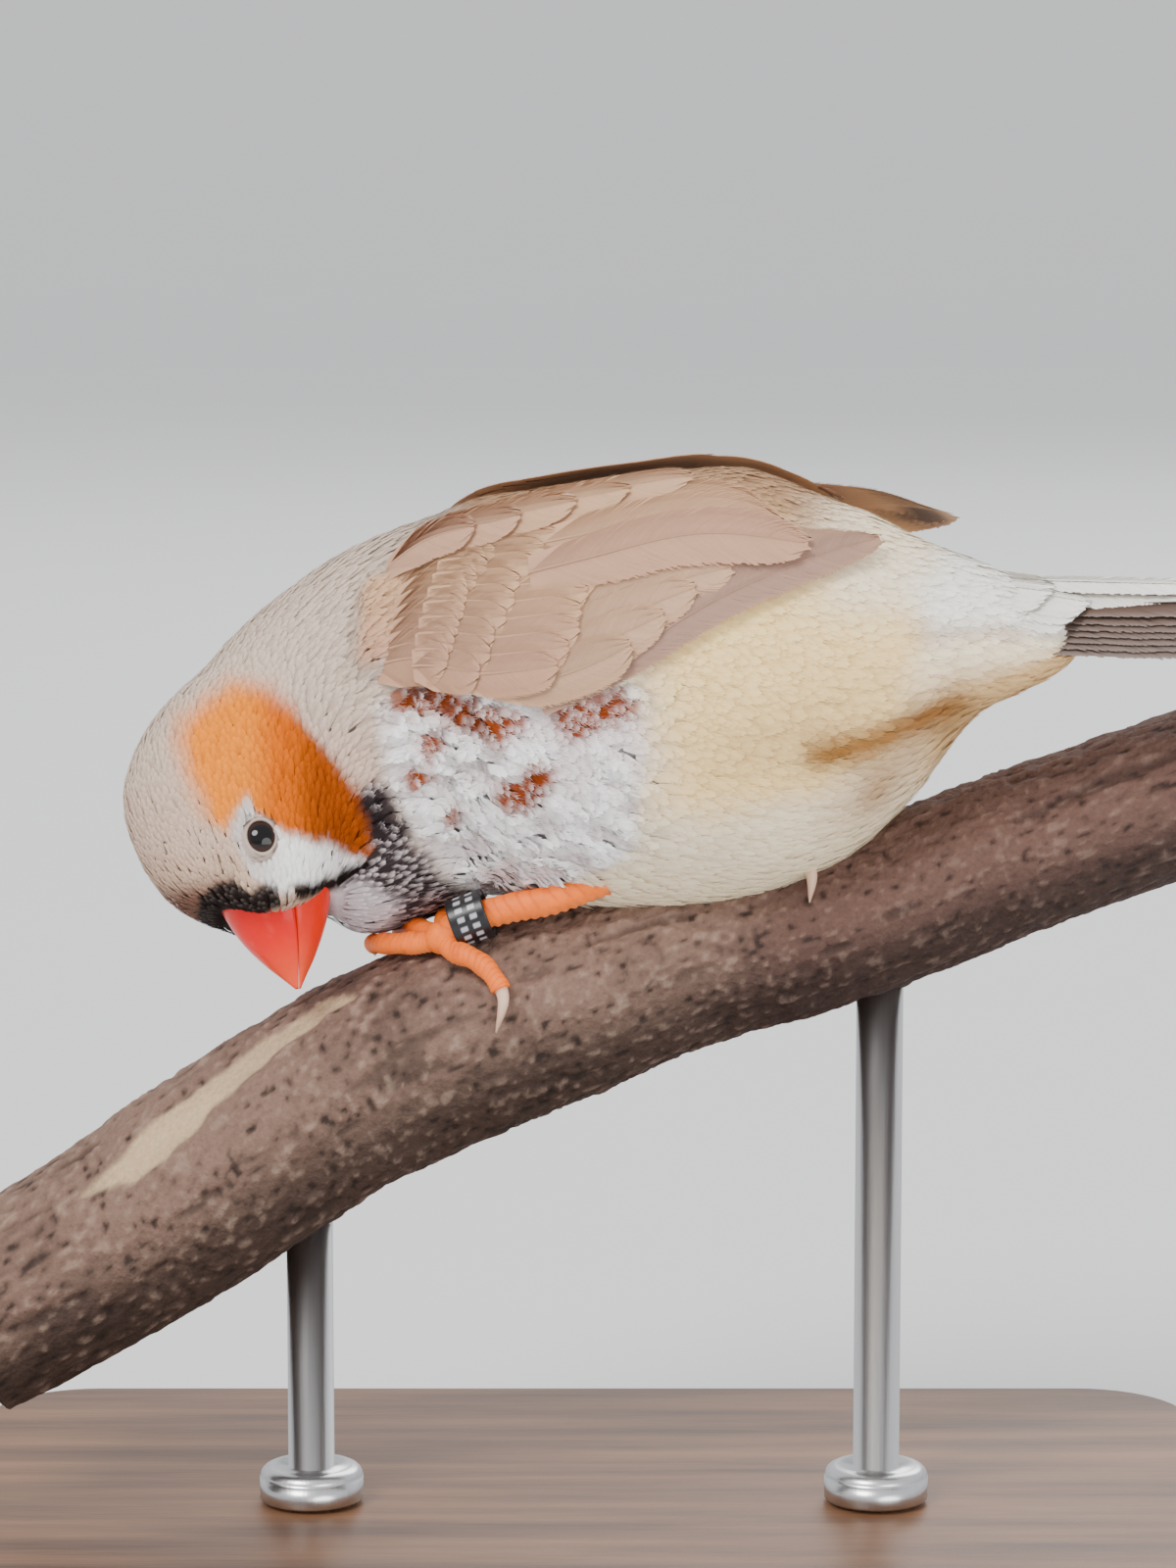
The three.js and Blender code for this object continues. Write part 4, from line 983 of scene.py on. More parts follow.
# Where the head's, the neck's and the whole coat end along x, and the turn at which the back becomes a side.
HEAD_END = -17
NECK_END = -10
COAT_END = 37
BACK_TURN = math.radians(60)
# The coat hidden by a folded wing: its reach in t, and its lower and upper edges in t and degrees.
HIDDEN_T = (0.24, 0.62)
HIDDEN_LOW = ([0.24, 0.3, 0.45, 0.55, 0.62], [52, 64, 58, 44, 30])
HIDDEN_HIGH = ([0.24, 0.3, 0.5, 0.62], [44, 36, 29, 30])
# Heights of the coat's relief: broad waves, ripples, the breast's bulge, the shoulder and the flank's ridges.
WAVE_HEIGHT = 0.18
RIPPLE_HEIGHT = 0.05
BREAST_HEIGHT, BREAST_X, BREAST_HALF = 1.5, -11, 4.5
SHOULDER_HEIGHT = 1.15
RIDGE_HEIGHT, RIDGE_DEPTH = 0.75, 0.1
# Points along each tuft where its place and colours are worked out, and its size on the bake map.
STATIONS = 6
TUFT_PATCH = 0.003
# A leaf's half widths along it, as shares.
LEAF = [(0.0, 0.3), (0.3, 0.7), (0.65, 0.78), (0.88, 0.5)]
LEAF_TIP = 0.97


def coat_traits(points):
    """The coat's tufts at these points: spacing, length, half width, height over the skin, looseness and how
    deep the rim's own colour reaches."""
    t, turn = body_place(points)
    degrees = np.degrees(np.abs(turn))
    back, up, side = head_place(points)
    to_neck = ramp(points[:, 0], -31, -20) * ramp(points[:, 2], 58, 70)
    to_neck = np.maximum(to_neck, ramp(points[:, 0], -22, -16))
    to_body = ramp(points[:, 0], -16, -8)
    face = ramp(-back, -8, -2.5) * (1 - to_neck)
    flank = flank_share(points, t, degrees)
    belly = to_body * ramp(degrees, 84, 110)
    x, z = drawn_body(points)
    barred = inside(x, z, BARRED_OUTLINE, 1.0) * ramp(back, 0, 2)

    def blend(head, small, neck, body, under, loose, bars):
        value = mix(mix(mix(head, small, face), neck, to_neck), bars, barred)
        return mix(mix(mix(value, body, to_body), under, belly), loose, flank)

    traits = {
        "spacing": blend(0.37, 0.31, 0.42, 0.52, 0.54, 0.52, 0.72),
        "length": blend(1.9, 1.1, 3.0, 4.0, 4.4, 2.4, 1.8),
        "width": blend(0.38, 0.25, 0.36, 0.6, 0.6, 0.62, 0.52),
        "height": blend(0.55, 0.45, 0.8, 0.95, 1.0, 1.05, 0.75),
        "loose": blend(0.08, 0.08, 0.12, 0.12, 0.2, 0.9, 0.5),
        "rim": blend(0.6, 0.5, 0.6, 0.6, 0.6, 0.6, 0.28),
    }
    dx, dy = EYE_BACK - back, up - EYE_UP
    room = dx - EYE_OPENING[0] * np.sqrt(np.maximum(0, 1 - (dy / 1.25) ** 2)) - 0.1
    ahead = (np.abs(side) > 4) & (dx > 0) & (dx < 5) & (np.abs(dy) < 1.25)
    traits["length"] = np.where(ahead, np.minimum(traits["length"], np.maximum(0.45, room)), traits["length"])
    return traits


def coat_relief(points):
    """Height of the coat's clumps and waves over its even level."""
    t, turn = body_place(points)
    to_body = ramp(points[:, 0], -16, -8)
    flank = flank_share(points, t, np.degrees(np.abs(turn)))
    waves = WAVE_HEIGHT * noise(points, 5.0, 74) * to_body
    waves = waves + RIPPLE_HEIGHT * noise(points, (1.6, 1.2, 0.9), 75)
    below = ramp(np.abs(turn), 1.9, 2.6)
    breast = BREAST_HEIGHT * np.exp(-(((points[:, 0] - BREAST_X) / BREAST_HALF) ** 2)) * below
    shoulder = SHOULDER_HEIGHT * shoulder_share(t, np.degrees(np.abs(turn)))
    return mix(waves, RIDGE_HEIGHT * flank_ridges(points) - RIDGE_DEPTH, flank) + breast + shoulder


def relief_slope(points):
    """How steeply the coat's relief rises along each axis."""
    step = 0.15
    rises = [coat_relief(points + axis * step) - coat_relief(points - axis * step) for axis in np.eye(3)]
    return np.stack([rise / (2 * step) for rise in rises], -1)


def tuft_shape(random, rim_barbs, top_barbs, ragged):
    """Corners (along, across, high, tone) and triangles of one tuft."""
    corners = [(s, side * wide, 0.0, 1.0) for s, wide in LEAF for side in (-1, 1)]
    corners.append((LEAF_TIP, 0.0, 0.0, 1.0))
    triangles = []
    for a in range(0, 2 * len(LEAF) - 2, 2):
        triangles += [(a, a + 2, a + 3), (a, a + 3, a + 1)]
    last = 2 * len(LEAF) - 2
    triangles.append((last, last + 2, last + 1))

    def add_barb(start, end, thick, tone):
        first = len(corners)
        corners.append((start[0] - thick, start[1], 0.02, tone))
        corners.append((start[0] + thick, start[1] * 0.8, 0.02, tone))
        corners.append((*end, tone))
        area = 2 * thick * (end[1] - start[1]) + (end[0] - start[0] + thick) * 0.2 * start[1]
        triangles.append((first, first + 1, first + 2) if area > 0 else (first, first + 2, first + 1))

    for k in range(rim_barbs):
        share = (k + random.uniform(0.15, 0.85)) / rim_barbs * 2 - 1
        s = 0.94 - 0.66 * abs(share)
        wide = np.interp(s, [row[0] for row in LEAF] + [1.0], [row[1] for row in LEAF] + [0.12])
        across = math.copysign(wide, share)
        reach = 0.17 + 0.1 * ragged * random.random()
        aside = across * (1.12 + 0.2 * ragged * random.random()) + 0.1 * share
        end = (s + reach, aside, 0.1 * ragged * random.uniform(-0.6, 1))
        add_barb((s - 0.06, across * 0.8), end, 0.055, 1 + 0.04 * random.normal())
    for k in range(top_barbs):
        across = (k + random.uniform(0.2, 0.8)) / top_barbs * 1.5 - 0.75
        s = random.uniform(0.15, 0.5)
        end = (s + random.uniform(0.3, 0.5), across, 0.05)
        add_barb((s, across * 0.5), end, 0.06, 1 + 0.06 * random.normal())
    return np.array(corners), np.array(triangles)


def along_path(values, s):
    """Values at stations of every path, read at each s of the path."""
    x = np.clip(s, 0, 1) * (STATIONS - 1)
    i = np.minimum(np.floor(x).astype(int), STATIONS - 2)
    f = (x - i)[None, :, None]
    return values[:, i] * (1 - f) + values[:, i + 1] * f


def lay_tufts(surface, roots, lengths, swerve):
    """The middle line of each tuft from its root, with the surface's normals and the ways along it."""
    places, normals, ways = [], [], []
    cos, sin = np.cos(swerve)[:, None], np.sin(swerve)[:, None]
    step = (lengths / (STATIONS - 1))[:, None]
    p, n, lie = surface.nearest(roots)
    way = cos * lie + sin * np.cross(n, lie)
    for _ in range(STATIONS):
        places.append(p)
        normals.append(n)
        ways.append(way)
        p, n, lie = surface.nearest(p + way * step)
        wanted = cos * lie + sin * np.cross(n, lie)
        way = way - n * np.sum(way * n, axis=1, keepdims=True)
        way = unit(0.6 * unit(way) + 0.4 * wanted)
    return np.stack(places, 1), np.stack(normals, 1), np.stack(ways, 1)


def make_coat(name, surface, roots, traits, random, shapes, unwrap):
    """One piece of the coat: a tuft at each root."""
    swerve = random.normal(0, 1, len(roots)) * (0.07 + 0.22 * traits["loose"])
    places, normals, ways = lay_tufts(surface, roots, traits["length"], swerve)
    across = np.cross(normals, ways)
    tone = 1 + 0.018 * random.normal(0, 1, len(roots))
    flat = (places + normals * traits["height"][:, None, None]).reshape(-1, 3)
    inner, edge = (values.reshape(places.shape) for values in plumage(flat))
    relief = coat_relief(flat).reshape(places.shape[:2])[..., None]
    slope = relief_slope(flat).reshape(places.shape)
    slope -= normals * np.sum(slope * normals, axis=2, keepdims=True)
    shown = unit(normals - 0.9 * slope)
    place_u, place_v = unwrap(roots)
    kinds = random.integers(0, len(shapes), len(roots))
    lifted = traits["height"] * (1 + 0.05 * random.normal(0, 1, len(roots)))
    curl = traits["loose"] * random.normal(0.0, 0.07, len(roots))
    points, triangles, tints, uvs, shading, first = [], [], [], [], [], 0
    for kind, (corners, faces) in enumerate(shapes):
        chosen = np.flatnonzero(kinds == kind)
        if not len(chosen):
            continue
        s, w, h, own_tone = corners.T
        middle = along_path(places[chosen], s)
        out = unit(along_path(normals[chosen], s))
        aside = unit(along_path(across[chosen], s))
        past = np.clip(s - 1, 0, 1)[None, :, None] * along_path(ways[chosen], s)
        rise = (0.66 + 0.34 * np.minimum(s, 1.05))[None] * lifted[chosen, None]
        rise = rise + along_path(relief[chosen], s)[..., 0] * ramp(s, 0, 0.3)[None]
        rise = rise + curl[chosen, None] * (np.clip(s, 0, 1) ** 2)[None]
        length, wide = traits["length"][chosen, None], traits["width"][chosen, None]
        rise = rise + h[None] * (0.4 + traits["loose"][chosen, None])
        rise = rise - 0.12 * wide * (w**2)[None]
        corner = middle + past * length[..., None]
        corner = corner + aside * (w[None] * wide)[..., None] + out * rise[..., None]
        rim = ramp(-length * (1 - s[None]) / traits["rim"][chosen, None], -1, -0.25)
        tint = mix(along_path(inner[chosen], s), along_path(edge[chosen], s), rim)
        shade = ((0.93 + 0.07 * ramp(s, 0.2, 0.9)) * own_tone)[None] * tone[chosen, None]
        lean = unit(along_path(shown[chosen], s) + 0.06 * w[None, :, None] * aside)
        uv_u = place_u[chosen, None] + TUFT_PATCH / 2 * w[None]
        uv_v = place_v[chosen, None] + TUFT_PATCH * (s[None] - 0.5)
        count = len(corners)
        points.append(corner.reshape(-1, 3))
        triangles.append((faces[None] + first + count * np.arange(len(chosen))[:, None, None]).reshape(-1, 3))
        tints.append((tint * shade[..., None]).reshape(-1, 3))
        uvs.append(np.stack([uv_u, uv_v], -1).reshape(-1, 2))
        shading.append(lean.reshape(-1, 3))
        first += count * len(chosen)
    return make_object(
        name, np.concatenate(points), np.concatenate(triangles), np.concatenate(tints), np.concatenate(uvs),
        np.concatenate(shading),
    )


def unwrapped(along, turn):
    """Place on the bake map of a place on a form: its share along the form and its turn round it."""
    return 0.05 + 0.9 * np.clip(along, 0, 1), 0.02 + 0.96 * (turn / (2 * math.pi) + 0.5)


def around_head(points):
    back, up, side = head_place(points)
    return unwrapped((back + 8) / 32, np.arctan2(side, up))


def around_body(points):
    return unwrapped(*body_place(points))


def under_wing(points):
    """True where a folded wing hides the coat."""
    t, turn = body_place(points)
    degrees = np.degrees(np.abs(turn))
    low, high = np.interp(t, *HIDDEN_LOW), np.interp(t, *HIDDEN_HIGH)
    return (t > HIDDEN_T[0]) & (t < HIDDEN_T[1]) & (degrees > high) & (degrees < low)


def make_plumage(surface):
    random = np.random.default_rng(7)
    points = surface.scattered(random, ROOT_DENSITY)
    back, up, side = head_place(points)
    by_eye = ((back - EYE_BACK) / EYE_ROOM[0]) ** 2 + ((up - EYE_UP) / EYE_ROOM[1]) ** 2 < 1
    by_eye = by_eye & (np.abs(side) > 5)
    in_bill = (back < BILL_ROOM[0]) & (np.abs(up) < BILL_ROOM[1]) & (np.abs(side) < BILL_ROOM[2])
    points = points[~by_eye & ~in_bill & ~under_wing(points) & (points[:, 0] < COAT_END)]
    points = points[thinned(points, coat_traits(points)["spacing"])]
    traits = coat_traits(points)
    small = [tuft_shape(random, 7, 3, 0.5) for _ in range(6)]
    large = [tuft_shape(random, 10, 5, 0.8) for _ in range(8)]
    back, up, side = head_place(points)
    at_head = (points[:, 0] < HEAD_END) & (back > -2)
    _, turn = body_place(points)
    at_neck = ~at_head & (points[:, 0] < NECK_END)
    above = ~at_head & ~at_neck & (np.abs(turn) < BACK_TURN)
    left = ~at_head & ~at_neck & ~above & (turn > 0)
    right = ~at_head & ~at_neck & ~above & ~left
    for name, chosen, shapes, unwrap in (
        ("coat_head", at_head, small, around_head),
        ("coat_neck", at_neck, large, around_body),
        ("coat_back", above, large, around_body),
        ("coat_left", left, large, around_body),
        ("coat_right", right, large, around_body),
    ):
        part = {key: value[chosen] for key, value in traits.items()}
        piece = make_coat(name, surface, points[chosen], part, random, shapes, unwrap)
        finish_piece(piece, PLUMAGE, "plumage")


# Flight feathers, coverts and tail feathers.
# Tiers of the wing: name, count, roots and tips of the first and last feather as t and degrees, their widths,
# the lifts at root and tip, the bows in degrees of the first and last, and the barbs on each side.
WING_TIERS = [
    ("primary", 8, [[0.35, 79], [0.37, 60]], [[0.665, 22], [0.6, 30]],
     [3.8, 4.4], [0.85, 1.2], [8, 3], 110),
    ("secondary", 6, [[0.30, 74], [0.33, 52]], [[0.44, 67], [0.585, 35]],
     [4.6, 4.8], [1.3, 1.6], [2, 2], 90),
    ("tertial", 3, [[0.34, 46], [0.36, 28]], [[0.59, 36], [0.54, 26]],
     [5.6, 5.4], [1.6, 1.85], [0, 0], 80),
    ("greater_covert", 9, [[0.25, 72], [0.29, 36]], [[0.375, 70], [0.435, 35]],
     [4.4, 4.6], [1.7, 1.9], [0, 0], 60),
    ("median_covert", 9, [[0.19, 70], [0.23, 36]], [[0.29, 71], [0.36, 34]],
     [4.6, 4.8], [1.8, 1.98], [0, 0], 56),
    ("lesser_covert", 9, [[0.12, 66], [0.16, 36]], [[0.24, 69], [0.3, 34]],
     [5.0, 5.2], [1.1, 2.02], [0, 0], 60),
    ("scapular", 5, [[0.14, 34], [0.28, 20]], [[0.27, 31], [0.48, 18]],
     [4.6, 5.0], [1.3, 2.0], [0, 0], 60),
]
LEAST_LIFT = 0.85
# Wings: name, side, how much farther and higher the primaries reach at their tips, how far the wing stands
# off the body as a share, and the seed of its draws.
WINGS = [("wing_left", 1, 0, 0, 1, 11), ("wing_right", -1, 0.07, 1.8, 0.62, 12)]
FLIGHT_NEAR = colour(194, 159, 134)
FLIGHT_PURPLE = colour(164, 130, 114)
# Painted shade for the far wing's primary tips.
FLIGHT_FAR_SHADE = colour(92, 70, 60)


def vane_outline(f):
    """Share of a vane's full width along it: narrow root, full middle, rounded tip."""
    root = np.minimum(1, 0.62 + 1.1 * f)
    tip = np.where(f > 0.55, np.sqrt(np.maximum(0, 1 - ((f - 0.55) / 0.455) ** 4)), 1)
    return np.maximum(0.05, root * tip)


def make_vane(random, middle, out, width, height, tilt, barbs, inner, edge, ragged=1.0):
    """Corners, faces, tints and shading of a feather. middle(f) and out(f) give its middle line and the way
    that its face looks, and inner(f, w) its colour along and across."""
    fine = np.linspace(0, 1, 60)
    line, normals = middle(fine), out(fine)
    along = unit(np.gradient(line, axis=0))
    across = unit(np.cross(normals, along))
    length = np.linalg.norm(np.diff(line, axis=0), axis=1).sum()

    def at(values, f):
        return np.stack([np.interp(f, fine, values[:, k]) for k in range(3)], -1)

    def place(f, w, rise):
        share = vane_outline(np.clip(f, 0, 1))
        spot = at(line, f) + at(along, f) * (np.maximum(f - 1, 0) * length)[..., None]
        raised = height(f) + tilt * w * share - 0.05 * width * (w * share) ** 2 + rise
        return spot + at(across, f) * (w * share * width / 2)[..., None] + at(normals, f) * raised[..., None]

    sheet_f, sheet_w = np.meshgrid(np.linspace(0, 1, 26), np.linspace(-0.93, 0.93, 7), indexing="ij")
    parts = [(place(sheet_f, sheet_w, -0.06).reshape(-1, 3), grid_faces(26, 7)[:, ::-1])]
    rim = np.maximum(ramp(np.abs(sheet_w), 0.72, 1.0), ramp(sheet_f, 0.9, 1.0))
    tints = [mix(inner(sheet_f, sheet_w), edge, rim * 0.75).reshape(-1, 3)]
    shading = [unit(at(normals, sheet_f) + 0.07 * sheet_w[..., None] * at(across, sheet_f)).reshape(-1, 3)]
    nodes = np.array([0, 0.3, 0.65, 1.0])
    half = 0.56 / barbs
    for side in (-1, 1):
        start = (np.arange(barbs) + 0.5) / barbs * 0.97
        slant = (0.55 * width / length) * (1.25 - 0.35 * start)
        shift = np.zeros(barbs)
        for split in random.choice(barbs, 3 if barbs > 30 else 1, replace=False):
            reach = np.arange(barbs) - split
            shift += ragged * 0.012 * np.sign(reach + 0.5) * np.exp(-(np.abs(reach) / 3.0))
        shift += ragged * random.normal(0, 0.002, barbs)
        f = start[:, None] + slant[:, None] * nodes**1.3 + shift[:, None] * nodes**2
        f = np.minimum(f, 1 + 0.01 * nodes)
        w = side * nodes[None] * (1 + ragged * random.normal(0, 0.02, barbs))[:, None]
        thin = (1 - 0.45 * nodes**2)[None]
        low = place(f - half * thin, w, -0.03)
        high = place(f + half * thin, w, 0.03)
        points = np.stack([low, high], 2).reshape(-1, 3)
        columns = 2 * len(nodes)
        b, k = np.meshgrid(np.arange(barbs), np.arange(len(nodes) - 1), indexing="ij")
        a = (b * columns + 2 * k).ravel()
        faces = np.stack([a, a + 1, a + 3, a + 2], 1)
        if side < 0:
            faces = faces[:, ::-1]
        parts.append((points, faces))
        rim = np.maximum(ramp(np.abs(w), 0.72, 1.0), ramp(f, 0.9, 1.0))
        tone = 1 + 0.025 * random.normal(0, 1, (barbs, 1))
        tint = mix(inner(f, w), edge, rim * 0.75) * tone[..., None]
        tints.append(np.repeat(tint[:, :, None], 2, axis=2).reshape(-1, 3))
        smooth = at(normals, f) + 0.07 * np.sign(side) * np.abs(w)[..., None] * at(across, f)
        shading.append(np.repeat(unit(smooth)[:, :, None], 2, axis=2).reshape(-1, 3))
    shaft = np.linspace(0, 0.97, 16)
    ridge = place(shaft, 0 * shaft, 0.03)
    points, faces = tube(ridge, np.linspace(0.14, 0.04, 16) * min(1, width / 4), normals[0], 6)
    parts.append((points, faces))
    shaft_tint = mix(inner(shaft[:1], shaft[:1] * 0), edge, 0.4) * 0.9
    tints.append(np.repeat(shaft_tint, len(points), axis=0).reshape(-1, 3))
    shading.append(np.repeat(normals[30:31], len(points), axis=0))
    corners, faces = joined(parts)
    return corners, faces, np.concatenate(tints), np.concatenate(shading)


def vanes_object(name, vanes):
    """One piece from many feathers, each with its own square on the bake map."""
    cells = math.ceil(math.sqrt(len(vanes)))
    uvs = []
    for k, (points, *_) in enumerate(vanes):
        ways = np.linalg.svd(points - points.mean(0), full_matrices=False)[2][:2]
        flat = (points - points.mean(0)) @ ways.T
        flat = (flat - flat.min(0)) / (flat.max(0) - flat.min(0))
        uvs.append((np.array([k % cells, k // cells]) + 0.06 + 0.88 * flat) / cells)
    points, faces = joined([(vane[0], vane[1]) for vane in vanes])
    return make_object(
        name, points, faces, np.concatenate([vane[2] for vane in vanes]), np.concatenate(uvs),
        np.concatenate([vane[3] for vane in vanes]),
    )


def make_wing(side, reach, rise, stand, seed):
    random = np.random.default_rng(seed)
    vanes = []
    for name, count, roots, tips, widths, lifts, bows, barbs in WING_TIERS:
        for k in range(count):
            share = k / (count - 1)
            flight = name in ("primary", "secondary")
            settled = stand * (1 - 0.35 * share)
            beyond, raised = (reach, rise) if name == "primary" else (0, 0)
            start = mix(np.array(roots[0]), np.array(roots[1]), share)
            end = mix(np.array(tips[0]), np.array(tips[1]), share)
            end = end + [random.uniform(-0.005, 0.005) + beyond, 0]
            bow = mix(bows[0], bows[1], share)
            lift = (max(LEAST_LIFT, settled * lifts[0]), max(LEAST_LIFT, settled * lifts[1]) + raised)

            def place(f, start=start, end=end, bow=bow):
                degrees = start[1] + (end[1] - start[1]) * f + bow * np.sin(math.pi * f)
                return start[0] + (end[0] - start[0]) * f, side * np.radians(degrees)

            def middle(f, place=place):
                return body_point(*place(f))

            def out(f, place=place):
                t, turn = place(f)
                normal = body_normal(t, turn)
                outward = body_point(t, turn) - body_frame(t)[0]
                return normal * np.sign(np.sum(normal * outward, axis=1, keepdims=True))

            def height(f, lift=lift):
                return lift[0] + (lift[1] - lift[0]) * f + 0.2

            base = mix(WING_LOWER, WING_UPPER, ramp(share, 0.0, 0.7))
            if name == "primary":
                base = mix(FLIGHT_PURPLE, FLIGHT_NEAR, share) if side > 0 else WING_UPPER
            elif name == "secondary":
                base = mix(FLIGHT_NEAR, WING_UPPER, 0.5)
            edge = mix(base, WING_EDGE, 0.3 if flight or name == "greater_covert" else 0.12)
            base = base * (1 + (0.03 if flight else 0.015) * random.normal())
            shaft = 0.1 if flight or name == "tertial" else 0.03
            # Painted shade: the far wing's primaries darken towards their tips.
            far = FLIGHT_FAR_SHADE if side < 0 and name == "primary" else base

            def inner(f, w, base=base, shaft=shaft, far=far):
                darker = 1 - shaft * np.exp(-((w / 0.2) ** 2)) - 0.05 * (1 - f)
                return mix(base, far, ramp(f, 0.74, 0.84) + 0 * w) * darker[..., None]

            width = mix(widths[0], widths[1], share)
            tilt = (0.16 if flight else 0.04) * side
            vanes.append(make_vane(random, middle, out, width, height, tilt, barbs, inner, edge))
    return vanes


def make_wings():
    for name, side, reach, rise, stand, seed in WINGS:
        piece = vanes_object(f"{name}_feathers", make_wing(side, reach, rise, stand, seed))
        finish_piece(piece, VANES, "plumage", name)


TAIL_WAY = np.array([math.cos(BODY_YAW), -math.sin(BODY_YAW), 0.05])
TAIL_WAY /= np.linalg.norm(TAIL_WAY)
TAIL_FLAT = np.array([math.sin(BODY_YAW), math.cos(BODY_YAW), 0])
TAIL_TOP = -np.cross(TAIL_FLAT, TAIL_WAY)
TAIL_TOP /= np.linalg.norm(TAIL_TOP) * np.sign(TAIL_TOP[2])
TAIL_SIDE = turned(TAIL_FLAT, TAIL_TOP, TAIL_ROLL)
TAIL_UP = turned(TAIL_TOP, TAIL_FLAT, -TAIL_ROLL)
TAIL_PAIRS = 6
TAIL_LENGTH = 38
# Coverts over and under the tail: count, start and end along it, middle and half spread across it at start
# and end, width, and height over it at start and end.
TAIL_COVERTS = [
    (8, 0.0, 8.0, (0, 0), (2.8, 3.2), 4.4, (3.6, 1.9)),
    (6, -2.5, 5.0, (0, 0), (3.0, 3.4), 4.4, (4.3, 3.0)),
    (3, 1.5, 18.0, (2.2, 2.6), (0.8, 1.3), 4.0, (3.0, 1.95)),
    (8, 0.6, 8.5, (0, 0), (2.3, 2.8), 4.6, (-3.0, -1.6)),
    (6, -2.0, 4.5, (0, 0), (2.3, 2.8), 4.6, (-3.4, -2.6)),
]
TAIL_BROWN = colour(100, 76, 64)
TAIL_DARK = colour(56, 36, 28)
TAIL_PURPLE = colour(118, 98, 90)
TAIL_WHITE = colour(252, 248, 240)


def tail_point(along, sideways, up):
    along, sideways, up = (np.asarray(value, float)[..., None] for value in (along, sideways, up))
    return TAIL_ROOT + TAIL_WAY * along + TAIL_SIDE * sideways + TAIL_UP * up


def make_tail():
    random = np.random.default_rng(21)
    vanes = []

    def facing(sign):
        return lambda f: np.repeat((sign * TAIL_UP)[None], len(f), axis=0)

    for k in range(TAIL_PAIRS):
        for sign in (-1, 1):
            outward = sign * (k + 0.5)
            reach = TAIL_LENGTH - 0.55 * k
            up = 1.3 - 0.36 * k - (0 if sign > 0 else 0.18)
            tint = mix(TAIL_BROWN, TAIL_PURPLE, 0.16 * k + (0.15 if sign < 0 else 0))

            def middle(f, outward=outward, reach=reach, up=up):
                return tail_point(reach * f, outward * (0.45 + 0.4 * f), up + 0 * f)

            def inner(f, w, tint=tint, first=k == 0):
                dark = np.exp(-((w / (0.35 if first else 0.16)) ** 2)) * (0.85 if first else 0.45)
                return mix(np.broadcast_to(tint, w.shape + (3,)), TAIL_DARK, np.broadcast_to(dark, w.shape))

            def height(f):
                return 0.25 + 0 * f

            width, tilt, barbs = 5.6 - 0.12 * k, -0.18 * sign, 90
            rim = mix(tint, TAIL_WHITE, 0.15)
            vanes.append(make_vane(random, middle, facing(1), width, height, tilt, barbs, inner, rim))
    for count, start, end, shift, spread, width, lift in TAIL_COVERTS:
        face = 1 if lift[1] > 0 else -1
        for k in range(count):
            place = 2 * k / (count - 1) - 1
            drop = math.copysign(0.5, lift[1]) * place**2
            tip = end - 1.5 * place**2

            def middle(f, place=place, tip=tip, start=start, shift=shift, spread=spread):
                across = mix(shift[0], shift[1], f) + place * mix(spread[0], spread[1], f)
                return tail_point(start + (tip - start) * f, across, 0 * f)

            def height(f, lift=lift, drop=drop, face=face):
                return face * (lift[0] + (lift[1] - lift[0]) * f - drop) + 0.2

            tint = mix(RUMP_WHITE, TAIL_WHITE, 0.5) if face > 0 else mix(UNDERTAIL, CREAM, 0.3)

            def inner(f, w, tint=tint):
                shade = (0.9 + 0.1 * np.asarray(f))[..., None]
                return np.broadcast_to(tint, np.broadcast(f, w).shape + (3,)) * shade

            tilt, barbs, rim = -place * 0.4 * face, 34, tint * 1.05
            vane = make_vane(random, middle, facing(face), width, height, tilt, barbs, inner, rim, ragged=2.0)
            vanes.append(vane)
    finish_piece(vanes_object("tail_feathers", vanes), VANES, "plumage", "tail")


# Bill.
BILL_RED = colour(230, 6, 2)
# Pale red for specks of wear, and for a painted highlight along the culmen.
BILL_PALE_WEAR_AND_HIGHLIGHT = colour(244, 84, 66)
BILL_ORANGE = colour(234, 38, 8)
BILL_TIP = colour(246, 92, 48)


